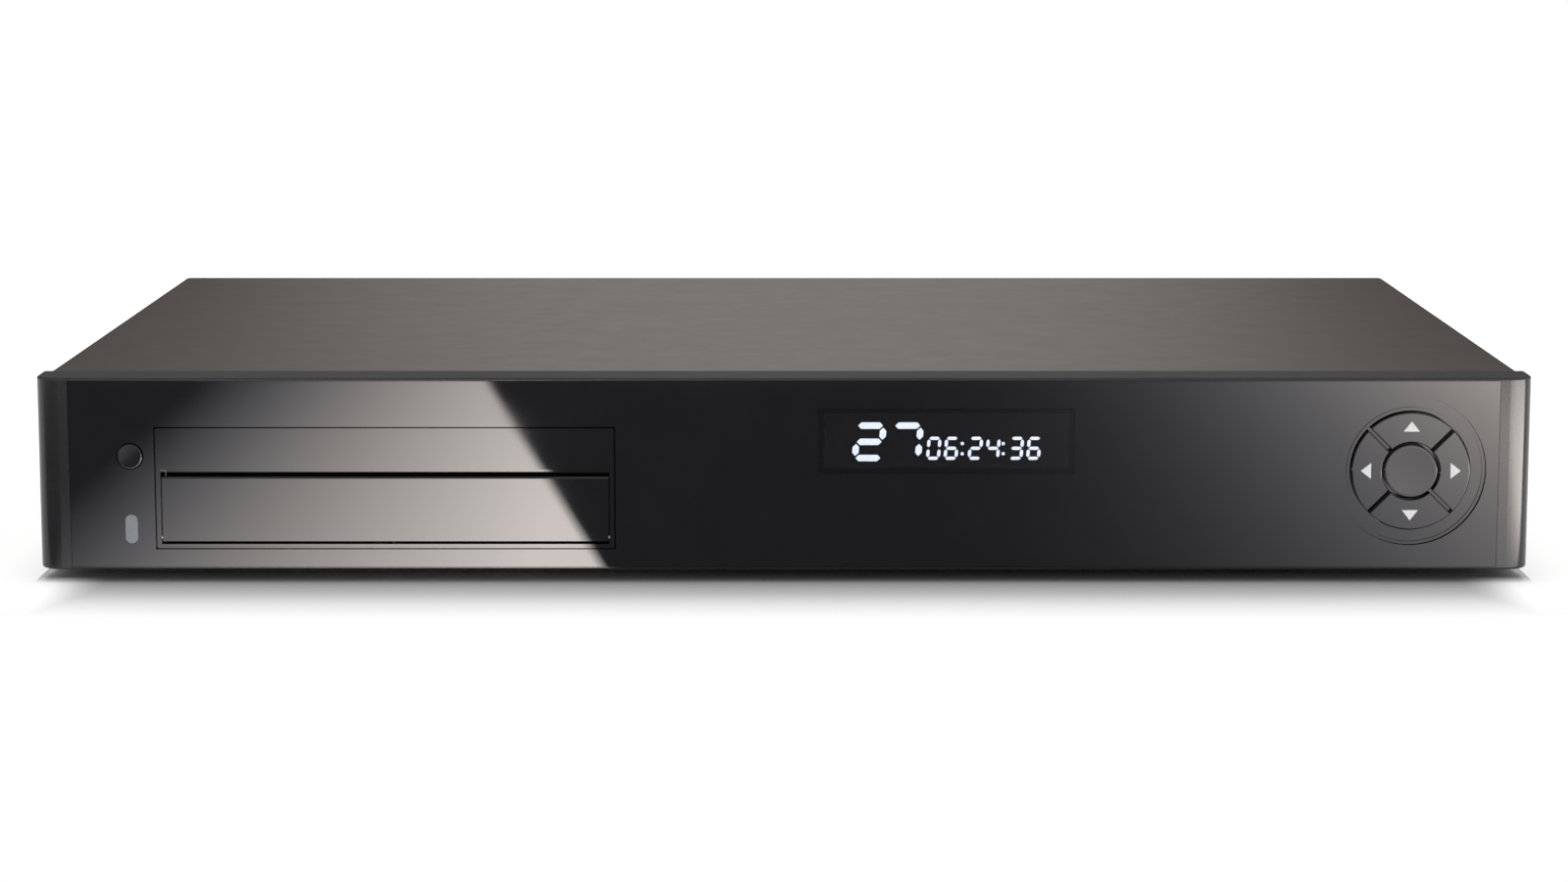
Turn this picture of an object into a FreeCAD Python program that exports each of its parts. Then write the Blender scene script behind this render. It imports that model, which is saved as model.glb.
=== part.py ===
# Media player with a pull-out hard-drive tray: a low, full-width hi-fi case.
#
# Frame: +X to the right as seen from the front, +Y to the back, +Z up, millimetres.
# The origin is the middle of the footprint, on the surface that the player stands on.
# One function makes each sub-part, and each sub-part is one STEP file.
import FreeCAD, Part
import math
import os

from FreeCAD import Vector

# ------------------------------------------------------------------ driving sizes
# Case
FASCIA_WIDTH = 433.6
FASCIA_HEIGHT = 56.2
CASE_DEPTH = 276.0         # fascia face to the back of the cover's rear lip
FOOT_HEIGHT = 3.8
SHEET = 1.0                # steel sheet of the case
COVER_INSET = 0.5          # fascia stands this far past the cover on each side
COVER_DROP = 0.5           # fascia stands this far above the cover
COVER_BEND = 2.4           # outer bend radius of the cover
LIP_HEIGHT = 8.0           # rear lip of the cover
FLANGE = 10.0              # turned-up and turned-in edges of the sheet parts
FIT = 0.1                  # gap between sheet parts that lie against each other
CUT = 1.0                  # how far a cutting tool runs past a face
SIDE_SCREW_FROM_END = 24.0
REAR_SCREW_FROM_SIDE = 52.6
FLANGE_SCREW_FROM_CAGE = 22.0
FLANGE_SCREW_FROM_SIDE = 20.0
FLANGE_SCREW_FROM_PSU = 9.0
FLANGE_SCREW_FROM_MIDDLE = 6.0

# Fascia, its glossy panel and the display window
FASCIA_DEPTH = 16.0
FASCIA_WALL = 2.5
FASCIA_END_RADIUS = 7.0
FASCIA_EDGE_RADIUS = 0.7
PANEL_THICK = 2.0
PANEL_END_MARGIN = 9.8     # fascia left bare at each end of the panel
PANEL_EDGE_MARGIN = 0.8    # fascia left bare above and below the panel
PANEL_GAP = 0.12
SEAM = 0.35                # gap round the tray door
DISPLAY_FROM_MIDDLE = 47.0
DISPLAY_FROM_TOP = 18.4
WINDOW_WIDTH = 74.0
WINDOW_HEIGHT = 19.0
WINDOW_LEDGE = 1.5
FRAME_WINDOW_WIDTH = 60.0  # openings in the front frame behind the display and the keys
FRAME_KEY_WIDTH = 28.0
FRAME_TRAY_GAP = 0.6
FRAME_DRIVE_GAP = 1.2

# Drive tray and its door
DOOR_FROM_END = 34.8       # left end of the fascia to the door
DOOR_WIDTH = 132.8
DOOR_RISE = 6.4            # bottom of the fascia to the bottom of the door
DOOR_HEIGHT = 35.2
BEZEL_DEPTH = 9.0
BEZEL_LIP = 1.2
BEZEL_CHEEK = 1.4
FLAP_HEIGHT = 19.15
FLAP_SLOT = 2.3            # finger slot above the flap
FLAP_THICK = 2.4
FLAP_BARREL = 1.4          # the hinge's axis behind the flap's face and above its lower edge
FLAP_GAP = 0.3             # at the flap's ends
FLAP_LOW_GAP = 0.45        # room for the lower corner as it swings
FLAP_POCKET = 5.4
FLAP_PIN_RADIUS = 0.55
FLAP_PIN_SHORT = 0.2       # pin ends inside the bezel's sides
FLAP_CHAMFER = 0.4
BEZEL_CORNER = 0.6
SPRING_NOTCH = 9.0
SPRING_WIRE = 0.2          # radius of the wire
SPRING_FIT = 0.05
NOTCH_WALL = 0.35          # what the spring's notch leaves of the flap's face
NOTCH_RISE = 0.6           # room for the spring above the hinge
SPRING_TURNS = 6
SPRING_TURN_GAP = 0.12
TRAY_LIFT = 0.8            # tray's underside above the door's bottom
TRAY_FLOOR = 3.0
TRAY_WALL = 3.8
TRAY_WALL_HEIGHT = 15.0
TRAY_FRONT_WALL = 3.0
TRAY_FRONT_HEIGHT = 28.0
TRAY_ARM = 24.0            # side arms reach this far behind the drive
TRAY_CUT_WIDTH = 20.0      # lightening holes in the tray's floor
TRAY_CUT_LENGTH = 32.0
TRAY_CUT_PITCH_X = 27.0
TRAY_CUT_PITCH_Y = 46.0
TRAY_CUT_FROM_FRONT = 24.0
TRAY_CUT_COLUMNS = 3
TRAY_CUT_ROWS = 2
TRAY_CUT_CORNER = 3.0
TRAY_REAR_CUT_WIDTH = 80.0
TRAY_REAR_CUT_LENGTH = 12.0
RUNNER_FROM_FRAME = 6.0
RUNNER = 3.0
RUNNER_RISE = 7.0          # tray's underside to the runner
RAIL_THICK = 5.0
RAIL_HEIGHT = 11.0
RAIL_GAP = 0.35
CAGE_HEADROOM = 3.4        # drive's top to the cage's top
CAGE_TAIL = 4.0            # cage past the tray's arms
CAGE_SCREW_FROM_END = 30.0
CAGE_SLOT_WIDTH = 4.0
CAGE_SLOT_LENGTH = 32.0
CAGE_SLOT_PITCH_X = 12.0
CAGE_SLOT_PITCH_Y = 42.0
CAGE_SLOT_FROM_FRONT = 36.0
CAGE_SLOT_COLUMNS = 9
CAGE_SLOT_ROWS = 3
DETENT_LEAF = 0.4
DETENT_BUMP = 2.0
DETENT_FROM_END = 9.0
DETENT_REACH = 8.0         # half the leaf's length
DETENT_SPREAD = 2.6        # half the V's width
DETENT_CLEAR = 0.3

# 3.5-inch drive
DRIVE_WIDTH = 101.6
DRIVE_LENGTH = 147.0
DRIVE_HEIGHT = 26.1
DRIVE_SIDE_GAP = 0.4
DRIVE_FRONT_GAP = 1.0
DRIVE_LID = 1.0
DRIVE_BOARD = 1.6
DRIVE_BOARD_LENGTH = 96.0
DRIVE_HOLE_WIDTH = 95.25
DRIVE_HOLE_PITCH = 44.45
DRIVE_HOLE_FROM_REAR = 61.0
DRIVE_PAD = 3.0            # radius of the casting's screw pads
PAD_CLEAR = 0.4
PLATTER_RADIUS = 47.5
PLATTER_THICK = 1.2
PLATTER_PITCH = 5.2
HUB_RADIUS = 14.0
SPINDLE_RADIUS = 4.0
ARM_POST_RADIUS = 3.5
ARM_FINGER = 1.0
DRIVE_CAVITY_FLOOR = 3.0
DRIVE_CORNER = 3.0
DRIVE_HOLE_DEPTH = 2.8
DRIVE_SIDE_HOLE_LIFT = 6.35
DRIVE_SIDE_HOLE_STEPS = (14.0, 58.0, 118.0)
DRIVE_BOARD_MARGIN = 4.0
DRIVE_BOARD_GAP = 0.5
DRIVE_SCREW_BITE = 2.6     # thread in the casting
PLATTER_COUNT = 2
PLATTER_LIFT = 4.6         # cavity floor to the first platter
PLATTER_GAP = 1.0          # platter's rim to the casting
PLATTER_FROM_MIDDLE = 1.5
ARM_FROM_MIDDLE = 30.0
ARM_FROM_PLATTER = 9.0
ARM_GAP = 1.2              # finger to the platter's face
ARM_REACH = 34.0
ARM_WALL = 3.2
ARM_WIDE = 5.0             # finger's half width at its root and its tip
ARM_THIN = 1.6
COIL_START = 4.0
COIL_END = 13.6
COIL_ROOT = 4.5
COIL_WIDE = 8.0
COIL_THICK = 3.0
ARM_TAIL = 16.0            # how far the coil tab sweeps round the post
LID_INSET = 0.4
LID_GROOVE = 1.0
LID_GROOVE_DEPTH = 0.4
LID_HUB = 9.0
LID_SCREW = 2.0
LID_SCREW_INSET = 4.5
BORE_FIT = 0.06            # running clearance of pins and shafts

# Plug and socket between the drive and the bay
PLUG_WIDTH = 38.0
BLADE_WIDTH = 31.0
BLADE_THICK = 1.2
PLUG_DEPTH = 8.0
PLUG_HEIGHT = 5.0
PLUG_BASE = 1.8
PLUG_GAP = 0.2
PLUG_ROOM = 0.6
SOCKET_WALL = 2.2
SOCKET_GAP = 0.3
BACKPLANE_STANDOFF = 3.0
BACKPLANE_WIDTH = 80.0
HEADER_LENGTH = 24.0
HEADER_TALL = 6.0
HEADER_DROP = 10.0         # backplane's top to its header
BACKPLANE_HOLE_INSET = 5.0

# Keys at the right end
NAV_FROM_END = 35.4
NAV_DROP = 27.0            # fascia's top to the keys' centre
NAV_RING_OUTER = 21.8
NAV_RING_INNER = 17.5
NAV_RING_SINK = 0.9        # ring's face below the panel's face
KEY_OUTER = 17.1
KEY_INNER = 8.4
KEY_SLOT = 0.9             # slot between neighbouring keys
OK_RADIUS = 7.7
KEY_PROUD = 0.8
KEY_THICK = 3.0
KEY_TRAVEL = 0.7
KEY_CLEAR = 0.3            # carrier to a pressed key
KEY_EDGE = 0.35
CARRIER = 1.2
STEM_RADIUS = 1.6
STEM_CLEAR = 0.3
ARROW_SIZE = 5.0
ARROW_DEPTH = 0.25
THROAT_WALL = 1.0
RING_RIM = 0.9             # plain rim each side of the ring's groove
RING_GROOVE = 0.4
STEM_ROOT = 0.5
STEM_FREE = 0.1            # pressed stem to the pressed switch
DISH_REACH = 0.9           # dish's rim over the key's radius
DISH_FLATNESS = 26.0       # dish's sphere over the key's radius

# Power button and status light at the left end
BUTTON_FROM_END = 27.5
BUTTON_DROP = 22.8         # fascia's top to the button's centre
BUTTON_RADIUS = 3.6
LIGHT_DROP = 44.2          # fascia's top to the light's centre
LIGHT_WIDTH = 3.6
LIGHT_HEIGHT = 8.4

# Boards and small parts
LEFT_BOARD_LEFT = 9.0      # the left board's edges from the button's centre
LEFT_BOARD_RIGHT = 5.5
LEFT_BOARD_TOP = 11.0
DISPLAY_BOARD_SIDE = 8.0   # the display board's edges past the window
DISPLAY_BOARD_END = 3.0
NAV_BOARD_SIZE = 42.0
BOARD_HOLE_INSET = 4.0
LAMP_WIDTH = 3.0
LAMP_HEIGHT = 4.0
LAMP_THICK = 1.0
EYE_SIZE = 3.0             # remote-control receiver
EYE_HEIGHT = 5.0
EYE_RISE = 4.0
EYE_GAP = 2.0
FLAT_HEADER_WIDTH = 24.0
FLAT_HEADER_HEIGHT = 5.0
FLAT_HEADER_THICK = 2.5
TUBE_LEDGE = 1.0
TUBE_TIP = 1.4
TUBE_TIP_LENGTH = 3.0
BOARD = 1.6
FRONT_BOSS = 5.0           # fascia wall to the boards behind it
SWITCH_SIZE = 6.0
SWITCH_BODY = 3.5
SWITCH_PLUNGER = 0.7
TUBE_THICK = 4.0
STANDOFF_HEIGHT = 6.0
STANDOFF_RADIUS = 3.0
MAIN_WIDTH = 176.0
MAIN_DEPTH = 150.0
MAIN_FROM_SIDE = 12.0
MAIN_HOLE_INSET = 6.0
FLAT_SOCKET_FROM_LEFT = 14.0
FLAT_SOCKET_FROM_FRONT = 3.0
FLAT_SOCKET_WIDTH = 26.0
FLAT_SOCKET_DEPTH = 5.0
FLAT_SOCKET_HEIGHT = 5.0
FLAT_CABLE_WIDTH = 20.0
FLAT_CABLE_THICK = 0.8
FLAT_CABLE_RISE = 14.0
POWER_SOCKET_FROM_LEFT = 3.0
POWER_SOCKET_FROM_FRONT = 40.0
POWER_SOCKET_WIDTH = 6.0
POWER_SOCKET_LENGTH = 22.0
POWER_SOCKET_HEIGHT = 9.0
CHIP_HEIGHT = 1.8
PROCESSOR_SIZE = 30.0
PROCESSOR_FROM_LEFT = 74.0
PROCESSOR_FROM_FRONT = 63.0
MEMORY_WIDTH = 11.0
MEMORY_LENGTH = 18.0
MEMORY_HEIGHT = 1.2
MEMORY_FROM_PROCESSOR = 34.0
MEMORY_PITCH_X = 18.0
MEMORY_PITCH_Y = 24.0
MEMORY_COUNT = 4
BRIDGE_SIZE = 14.0
BRIDGE_FROM_PROCESSOR = 37.0
FLASH_WIDTH = 18.0
FLASH_LENGTH = 12.0
SIDE_CHIP_STEP = 12.5
CELL_RADIUS = 10.0
CELL_HEIGHT = 5.0
CELL_FROM_PROCESSOR_X = 50.0
CELL_FROM_PROCESSOR_Y = 34.0
HEATSINK_SIZE = 46.0
HEATSINK_HEIGHT = 22.0
HEATSINK_FINS = 9
HEATSINK_BASE = 4.0
HEATSINK_FIN_SHARE = 0.28   # fin's part of each pitch
PSU_WIDTH = 126.0
PSU_FROM_SIDE = 8.0
PSU_FROM_CAGE = 4.0
PSU_HOLE_INSET = 5.0
PSU_PART_GAP = 1.5
MAINS_PARTS_FROM_LEFT = 10.0
FUSE_LENGTH = 22.0
FUSE_DEPTH = 7.0
FUSE_HEIGHT = 8.0
CHOKE_LENGTH = 20.0
CHOKE_DEPTH = 12.0
CHOKE_HEIGHT = 16.0
OUTLET_FROM_RIGHT = 26.0
OUTLET_WIDTH = 7.0
OUTLET_LENGTH = 14.0
OUTLET_FROM_FRONT = 8.0
TRANSFORMER_FROM_LEFT = 76.0
TRANSFORMER_FROM_FRONT = 19.0
CORE_WIDTH = 28.0
CORE_LENGTH = 26.0
CORE_HEIGHT = 20.0
CORE_LIFT = 3.0
CORE_CORNER = 1.0
WINDING_WIDTH = 18.0
WINDING_LENGTH = 32.0
WINDING_HEIGHT = 16.0
WINDING_CORNER = 5.0
PSU_SINK_STEPS = (57.0, 93.0)
PSU_SINK_FROM_FRONT = 8.0
PSU_SINK_LENGTH = 26.0
PSU_SINK_HEIGHT = 26.0
PSU_SINK_WEB = 2.0
PSU_SINK_FIN = 1.6
PSU_SINK_FIN_WIDTH = 6.0
PSU_SINK_PITCH = 6.0
PSU_SINK_FINS = 5
PSU_SINK_FOOT = 8.0
SMALL_CAP_RADIUS = 3.2
SMALL_CAP_HEIGHT = 8.0
SMALL_CAP_PITCH = 9.0
BULK_CAP_RADIUS = 9.0
BULK_CAP_HEIGHT = 28.0
BULK_CAP_FROM_LEFT = 45.0
BULK_CAP_FROM_FRONT = 17.0
OUT_CAP_RADIUS = 4.6
OUT_CAP_HEIGHT = 16.0
OUT_CAP_FROM_RIGHT = 11.0
OUT_CAP_FROM_FRONT = 14.0
OUT_CAP_PITCH = 11.5
CAP_RIM = 0.6
LEAD_RADIUS = 0.9
LEAD_PITCH = 2.4
LEAD_COUNT = 4
LEAD_RISE = 13.0
LEAD_FROM_CAGE = 12.0

# Feet
FOOT_RADIUS = 11.0
FOOT_FROM_SIDE = 32.0
FOOT_FROM_FRONT = 34.0
FOOT_FROM_REAR = 30.0
PAD_RADIUS = 8.0
PAD_HEIGHT = 2.2
PAD_PROUD = 0.8
FOOT_POST = 2.5
SNAP_RADIUS = 3.2
SNAP_HEIGHT = 2.0
SNAP_TAPER = 1.3
SNAP_GAP = 0.5
FOOT_TAPER = 1.2
PAD_RIM = 0.4

# M3 screws
SCREW_RADIUS = 1.5
SCREW_FIT = 0.06
SCREW_HEAD_RADIUS = 2.8
SCREW_HEAD_HEIGHT = 1.8
HOLE_RADIUS = 1.7
BOSS_RADIUS = 3.4
BOARD_BOSS_RADIUS = 3.0
BOSS_EDGE = 1.0            # boss to the fascia's top and bottom walls
BOSS_FROM_DOOR = 22.0
COVER_SCREW_LENGTH = 5.0
BOARD_SCREW_LENGTH = 5.0
FRONT_SCREW_LENGTH = 5.5
FRAME_SCREW_LENGTH = 7.0

# Rear connectors
JACK_PROUD = 9.0           # phono jack barrels behind the cover's lip
JACK_RADIUS = 4.15
JACK_BORE = 3.3
JACK_COLLAR = 5.4
JACK_COLLAR_PROUD = 0.4
JACK_CONTACT = 1.6         # radius of the hole for the plug's centre pin
JACK_PITCH = 14.0
JACK_BLOCK_DEPTH = 14.0
JACK_FROM_RIGHT = 12.0
JACK_RISE = 8.0
JACK_COLUMNS = 3
JACK_ROWS = 2
JACK_SINGLE_GAP = 2.0
JACK_INSERT_SINK = 0.8
CUTOUT_GAP = 0.3           # rear panel round a connector
PORT_PROUD = 0.8           # metal ports past the rear panel
PORT_LIFT = 0.4
NETWORK_FROM_RIGHT = 96.0
NETWORK_WIDTH = 16.0
NETWORK_HEIGHT = 13.5
NETWORK_DEPTH = 21.0
NETWORK_MOUTH_WIDTH = 11.8
NETWORK_MOUTH_DEPTH = 14.0
NETWORK_FLOOR = 4.2
NETWORK_ROOF = 1.6
LATCH_WIDTH = 6.4
LATCH_DEPTH = 10.0
LATCH_FLOOR = 1.6
USB_FROM_RIGHT = 122.0
USB_WIDTH = 14.5
USB_HEIGHT = 15.6
USB_DEPTH = 17.5
USB_WALL = 0.9
USB_MOUTH_HEIGHT = 5.4
USB_MOUTH_DEPTH = 12.0
USB_LOW_WALL = 1.3
USB_MIDDLE_WALL = 1.1
USB_TONGUE_RISE = 3.0
USB_TONGUE_THICK = 1.9
USB_TONGUE_INSET = 1.6
USB_TONGUE_SINK = 1.2
HDMI_FROM_RIGHT = 72.0
HDMI_WIDTH = 15.2
HDMI_HEIGHT = 6.4
HDMI_DEPTH = 12.0
HDMI_WALL = 0.6
HDMI_MOUTH_DEPTH = 9.5
HDMI_STEP = 2.4            # height of the narrow lower half
HDMI_STEP_INSET = 2.0
HDMI_TONGUE_INSET = 2.4
HDMI_TONGUE_THICK = 1.2
HDMI_TONGUE_SINK = 1.5
INLET_WIDTH = 21.6
INLET_HEIGHT = 14.6
INLET_DEPTH = 16.0
INLET_FLANGE = 2.0
INLET_BORE = 4.5           # radius of each lobe of the figure-8 socket
INLET_PITCH = 8.6
INLET_PIN = 1.2
INLET_BORE_DEPTH = 12.0
INLET_WAIST = 3.87         # half height between the lobes
INLET_FROM_LEFT = 20.0
INLET_LIFT = 1.0
INLET_RIM = 2.0
INLET_PIN_TAIL = 3.0
INLET_PIN_SINK = 1.6
ROCKER_WIDTH = 13.0
ROCKER_HEIGHT = 19.0
ROCKER_TILT = 9.0          # degrees from the middle to either side
ROCKER_FROM_LEFT = 52.0
ROCKER_LIFT = 2.0
ROCKER_WALL = 1.2
ROCKER_CLEAR = 0.4
ROCKER_DEPTH = 14.0
ROCKER_FLOOR = 3.0
ROCKER_RIM = 1.5
ROCKER_RIM_THICK = 1.6
ROCKER_RIM_CORNER = 1.2
ROCKER_PIN_RADIUS = 1.0
ROCKER_AXIS_SINK = 0.5
ROCKER_RAISED = 3.1        # cap's ends, its waist and its back, from the pin's axis
ROCKER_WAIST = 1.6
ROCKER_SUNK = 2.5
ROCKER_SHOULDER = 0.6
FAN_SIZE = 40.0
FAN_THICK = 10.0
FAN_DUCT = 19.0
FAN_HUB = 11.0
FAN_BLADES = 7
FAN_HOLE_PITCH = 32.0
FAN_FROM_MIDDLE = 38.0
FAN_CORNER = 2.5
FAN_STRUT_THICK = 1.5
FAN_STRUT_WIDTH = 2.4
FAN_SHAFT_RADIUS = 1.5
FAN_SHAFT_SHORT = 3.0
FAN_TIP_GAP = 0.7
FAN_ROTOR_START = 2.0
FAN_ROTOR_SHORT = 2.8
FAN_BLADE_THICK = 1.0
FAN_BLADE_CHORD = 8.4
FAN_BLADE_ROOT = 1.5
FAN_BLADE_ANGLE = 38.0
GRILLE_START = 4.0
GRILLE_SLOT = 2.4
GRILLE_PITCH = 3.8
GRILLE_SPOKE = 2.0

# Vents
VENT_SLOT = 2.6
VENT_LENGTH = 24.0
VENT_PITCH = 7.0
VENT_COUNT = 18
VENT_FROM_REAR = 22.0
VENT_LIFT = 2.0
FLOOR_VENT_ROWS = 4
FLOOR_VENT_COLUMNS = 11
FLOOR_VENT_FROM_FRONT = 45.0
FLOOR_VENT_GAP = 8.0

# ------------------------------------------------------------------ derived places
Z0 = FOOT_HEIGHT
FLOOR = Z0 + SHEET
FASCIA_TOP = Z0 + FASCIA_HEIGHT
COVER_TOP = FASCIA_TOP - COVER_DROP
CEILING = COVER_TOP - SHEET
FRONT = KEY_PROUD - (KEY_PROUD + CASE_DEPTH + JACK_PROUD) / 2
REAR = FRONT + CASE_DEPTH
FASCIA_X = FASCIA_WIDTH / 2
COVER_X = FASCIA_X - COVER_INSET
FLANGE_X = COVER_X - SHEET - FIT          # outer face of the base's side flanges
PLATE_X = FLANGE_X - SHEET - FIT          # edge of the front frame and rear panel
PANEL_BACK = FRONT + PANEL_THICK
WALL_BACK = PANEL_BACK + FASCIA_WALL
FASCIA_BACK = FRONT + FASCIA_DEPTH
FRAME_BACK = FASCIA_BACK + SHEET
REAR_OUT = REAR - SHEET - FIT             # outer face of the rear panel
REAR_IN = REAR_OUT - SHEET
BOARD_FRONT = WALL_BACK + FRONT_BOSS
BOARD_BACK = BOARD_FRONT + BOARD
BOSS_BORE = SCREW_RADIUS + SCREW_FIT

DOOR_LEFT = DOOR_FROM_END - FASCIA_X
DOOR_RIGHT = DOOR_LEFT + DOOR_WIDTH
TRAY_X = (DOOR_LEFT + DOOR_RIGHT) / 2
DOOR_BOTTOM = Z0 + DOOR_RISE
DOOR_TOP = DOOR_BOTTOM + DOOR_HEIGHT
BEZEL_BACK = FRONT + BEZEL_DEPTH
FLAP_BOTTOM = DOOR_BOTTOM + BEZEL_LIP + FLAP_LOW_GAP
FLAP_TOP = FLAP_BOTTOM + FLAP_HEIGHT
FLAP_AXIS_Y = FRONT + FLAP_BARREL
FLAP_AXIS_Z = FLAP_BOTTOM + FLAP_BARREL
FLAP_X = DOOR_WIDTH / 2 - BEZEL_CHEEK - FLAP_GAP

TRAY_Z = DOOR_BOTTOM + TRAY_LIFT
TRAY_HALF = DRIVE_WIDTH / 2 + DRIVE_SIDE_GAP + TRAY_WALL
DRIVE_Z = TRAY_Z + TRAY_FLOOR
DRIVE_FRONT = BEZEL_BACK + TRAY_FRONT_WALL + DRIVE_FRONT_GAP
DRIVE_REAR = DRIVE_FRONT + DRIVE_LENGTH
DRIVE_TOP = DRIVE_Z + DRIVE_HEIGHT
TRAY_REAR = DRIVE_REAR + TRAY_ARM
RUNNER_Z = TRAY_Z + RUNNER_RISE
RAIL_Z = RUNNER_Z + RUNNER / 2 - RAIL_HEIGHT / 2
CAGE_HALF = TRAY_HALF + RAIL_GAP + RAIL_THICK
CAGE_REAR = TRAY_REAR + CAGE_TAIL
CAGE_TOP = DRIVE_TOP + CAGE_HEADROOM
BACKPLANE_FRONT = DRIVE_REAR + BACKPLANE_STANDOFF
BACKPLANE_TOP = CAGE_TOP - CAGE_HEADROOM / 2
HEADER_Z = BACKPLANE_TOP - HEADER_DROP
PLUG_Z = DRIVE_Z + DRIVE_BOARD

NAV_X = FASCIA_X - NAV_FROM_END
NAV_Z = FASCIA_TOP - NAV_DROP
KEY_FRONT = FRONT - KEY_PROUD
KEY_BACK = KEY_FRONT + KEY_THICK
CARRIER_FRONT = KEY_BACK + KEY_TRAVEL + KEY_CLEAR
CARRIER_BACK = CARRIER_FRONT + CARRIER
SWITCH_FRONT = BOARD_FRONT - SWITCH_BODY
PLUNGER_FRONT = SWITCH_FRONT - SWITCH_PLUNGER
STEM_END = PLUNGER_FRONT - KEY_TRAVEL - STEM_FREE

BUTTON_X = BUTTON_FROM_END - FASCIA_X
BUTTON_Z = FASCIA_TOP - BUTTON_DROP
LIGHT_Z = FASCIA_TOP - LIGHT_DROP
DISPLAY_Z = FASCIA_TOP - DISPLAY_FROM_TOP

MAIN_RIGHT = PLATE_X - MAIN_FROM_SIDE
MAIN_LEFT = MAIN_RIGHT - MAIN_WIDTH
MAIN_REAR = REAR_IN - CUTOUT_GAP
MAIN_FRONT = MAIN_REAR - MAIN_DEPTH
MAIN_Z = FLOOR + STANDOFF_HEIGHT
MAIN_TOP = MAIN_Z + BOARD
PSU_LEFT = PSU_FROM_SIDE - PLATE_X
PSU_RIGHT = PSU_LEFT + PSU_WIDTH
PSU_REAR = REAR_IN - CUTOUT_GAP
PSU_FRONT = CAGE_REAR + PSU_FROM_CAGE
FAN_X = -FAN_FROM_MIDDLE
FAN_Z = FLOOR + FAN_SIZE / 2 + SHEET
FAN_FRONT = REAR_IN - FAN_THICK
ROCKER_AXIS_Y = REAR_OUT - ROCKER_AXIS_SINK
PORT_OUT = REAR_OUT + PORT_PROUD
JACK_START = REAR_IN - FIT
JACK_END = REAR + JACK_PROUD
WINDOW_X0 = DISPLAY_FROM_MIDDLE - WINDOW_WIDTH / 2
WINDOW_X1 = DISPLAY_FROM_MIDDLE + WINDOW_WIDTH / 2
WINDOW_Z0 = DISPLAY_Z - WINDOW_HEIGHT / 2
WINDOW_Z1 = DISPLAY_Z + WINDOW_HEIGHT / 2

PLATTER_X = TRAY_X
PLATTER_Y = DRIVE_FRONT + DRIVE_WIDTH / 2 + PLATTER_FROM_MIDDLE
CAVITY_Z = DRIVE_Z + DRIVE_BOARD + DRIVE_CAVITY_FLOOR
CASTING_TOP = DRIVE_TOP - DRIVE_LID
PLATTER_Z = CAVITY_Z + PLATTER_LIFT
ARM_X = TRAY_X + ARM_FROM_MIDDLE
ARM_Y = PLATTER_Y + PLATTER_RADIUS + ARM_FROM_PLATTER
PROCESSOR_X = MAIN_LEFT + PROCESSOR_FROM_LEFT
PROCESSOR_Y = MAIN_FRONT + PROCESSOR_FROM_FRONT

X_AXIS = Vector(1, 0, 0)
Y_AXIS = Vector(0, 1, 0)
Z_AXIS = Vector(0, 0, 1)


# ------------------------------------------------------------------ helpers
def box(x0, x1, y0, y1, z0, z1):
    return Part.makeBox(x1 - x0, y1 - y0, z1 - z0, Vector(x0, y0, z0))


def prism(points, run):
    """A flat outline pushed along a vector."""
    base = [Vector(*p) for p in points]
    return Part.Face(Part.makePolygon(base + base[:1])).extrude(run)


def rod(radius, start, axis, length):
    return Part.makeCylinder(radius, length, Vector(*start), axis)


def tube(outer, inner, start, axis, length):
    return rod(outer, start, axis, length).cut(rod(inner, start, axis, length))


def fuse(shapes):
    shapes = list(shapes)
    whole = shapes[0]
    if len(shapes) > 1:
        whole = whole.multiFuse(shapes[1:])
    return whole.removeSplitter()


def drill(shape, tools):
    tools = list(tools)
    return shape.cut(tools) if tools else shape


def edges_along(shape, axis, keep=lambda middle: True):
    """The straight edges of a shape that run along an axis, and whose middle passes keep."""
    found = []
    for edge in shape.Edges:
        if not isinstance(edge.Curve, (Part.Line, Part.LineSegment)):
            continue
        run = edge.Vertexes[-1].Point.sub(edge.Vertexes[0].Point)
        if run.cross(axis).Length < 1e-6 and keep(edge.CenterOfMass):
            found.append(edge)
    return found


def rounded(shape, axis, radius, keep=lambda middle: True):
    return shape.makeFillet(radius, edges_along(shape, axis, keep))


def slot_x(x0, x1, y, z, width, length):
    """A vertical slot with round ends, cut along X."""
    blank = box(x0, x1, y - width / 2, y + width / 2, z - length / 2, z + length / 2)
    return rounded(blank, X_AXIS, width * 0.49)


def slot_z(x, y, z0, z1, width, length):
    """A slot along Y with round ends, cut along Z."""
    blank = box(x - width / 2, x + width / 2, y - length / 2, y + length / 2, z0, z1)
    return rounded(blank, Z_AXIS, width * 0.49)


def screw(point, direction, length):
    """A pan-head screw: point is under the head, and direction is the way that it goes in."""
    start = Vector(*point)
    head = Part.makeCylinder(SCREW_HEAD_RADIUS, SCREW_HEAD_HEIGHT, start, direction * -1)
    rim = [e for e in head.Edges if isinstance(e.Curve, Part.Circle)
           and e.CenterOfMass.sub(start).Length > SCREW_HEAD_HEIGHT / 2]
    head = head.makeFillet(SCREW_HEAD_HEIGHT / 2, rim)
    shank = Part.makeCylinder(SCREW_RADIUS, length, start, direction)
    side = X_AXIS if abs(direction.x) < 0.5 else Y_AXIS
    up = direction.cross(side)
    top = start - direction * SCREW_HEAD_HEIGHT
    cross = [slab(top, direction, side, up), slab(top, direction, up, side)]
    return fuse([head, shank]).cut(cross)


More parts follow.
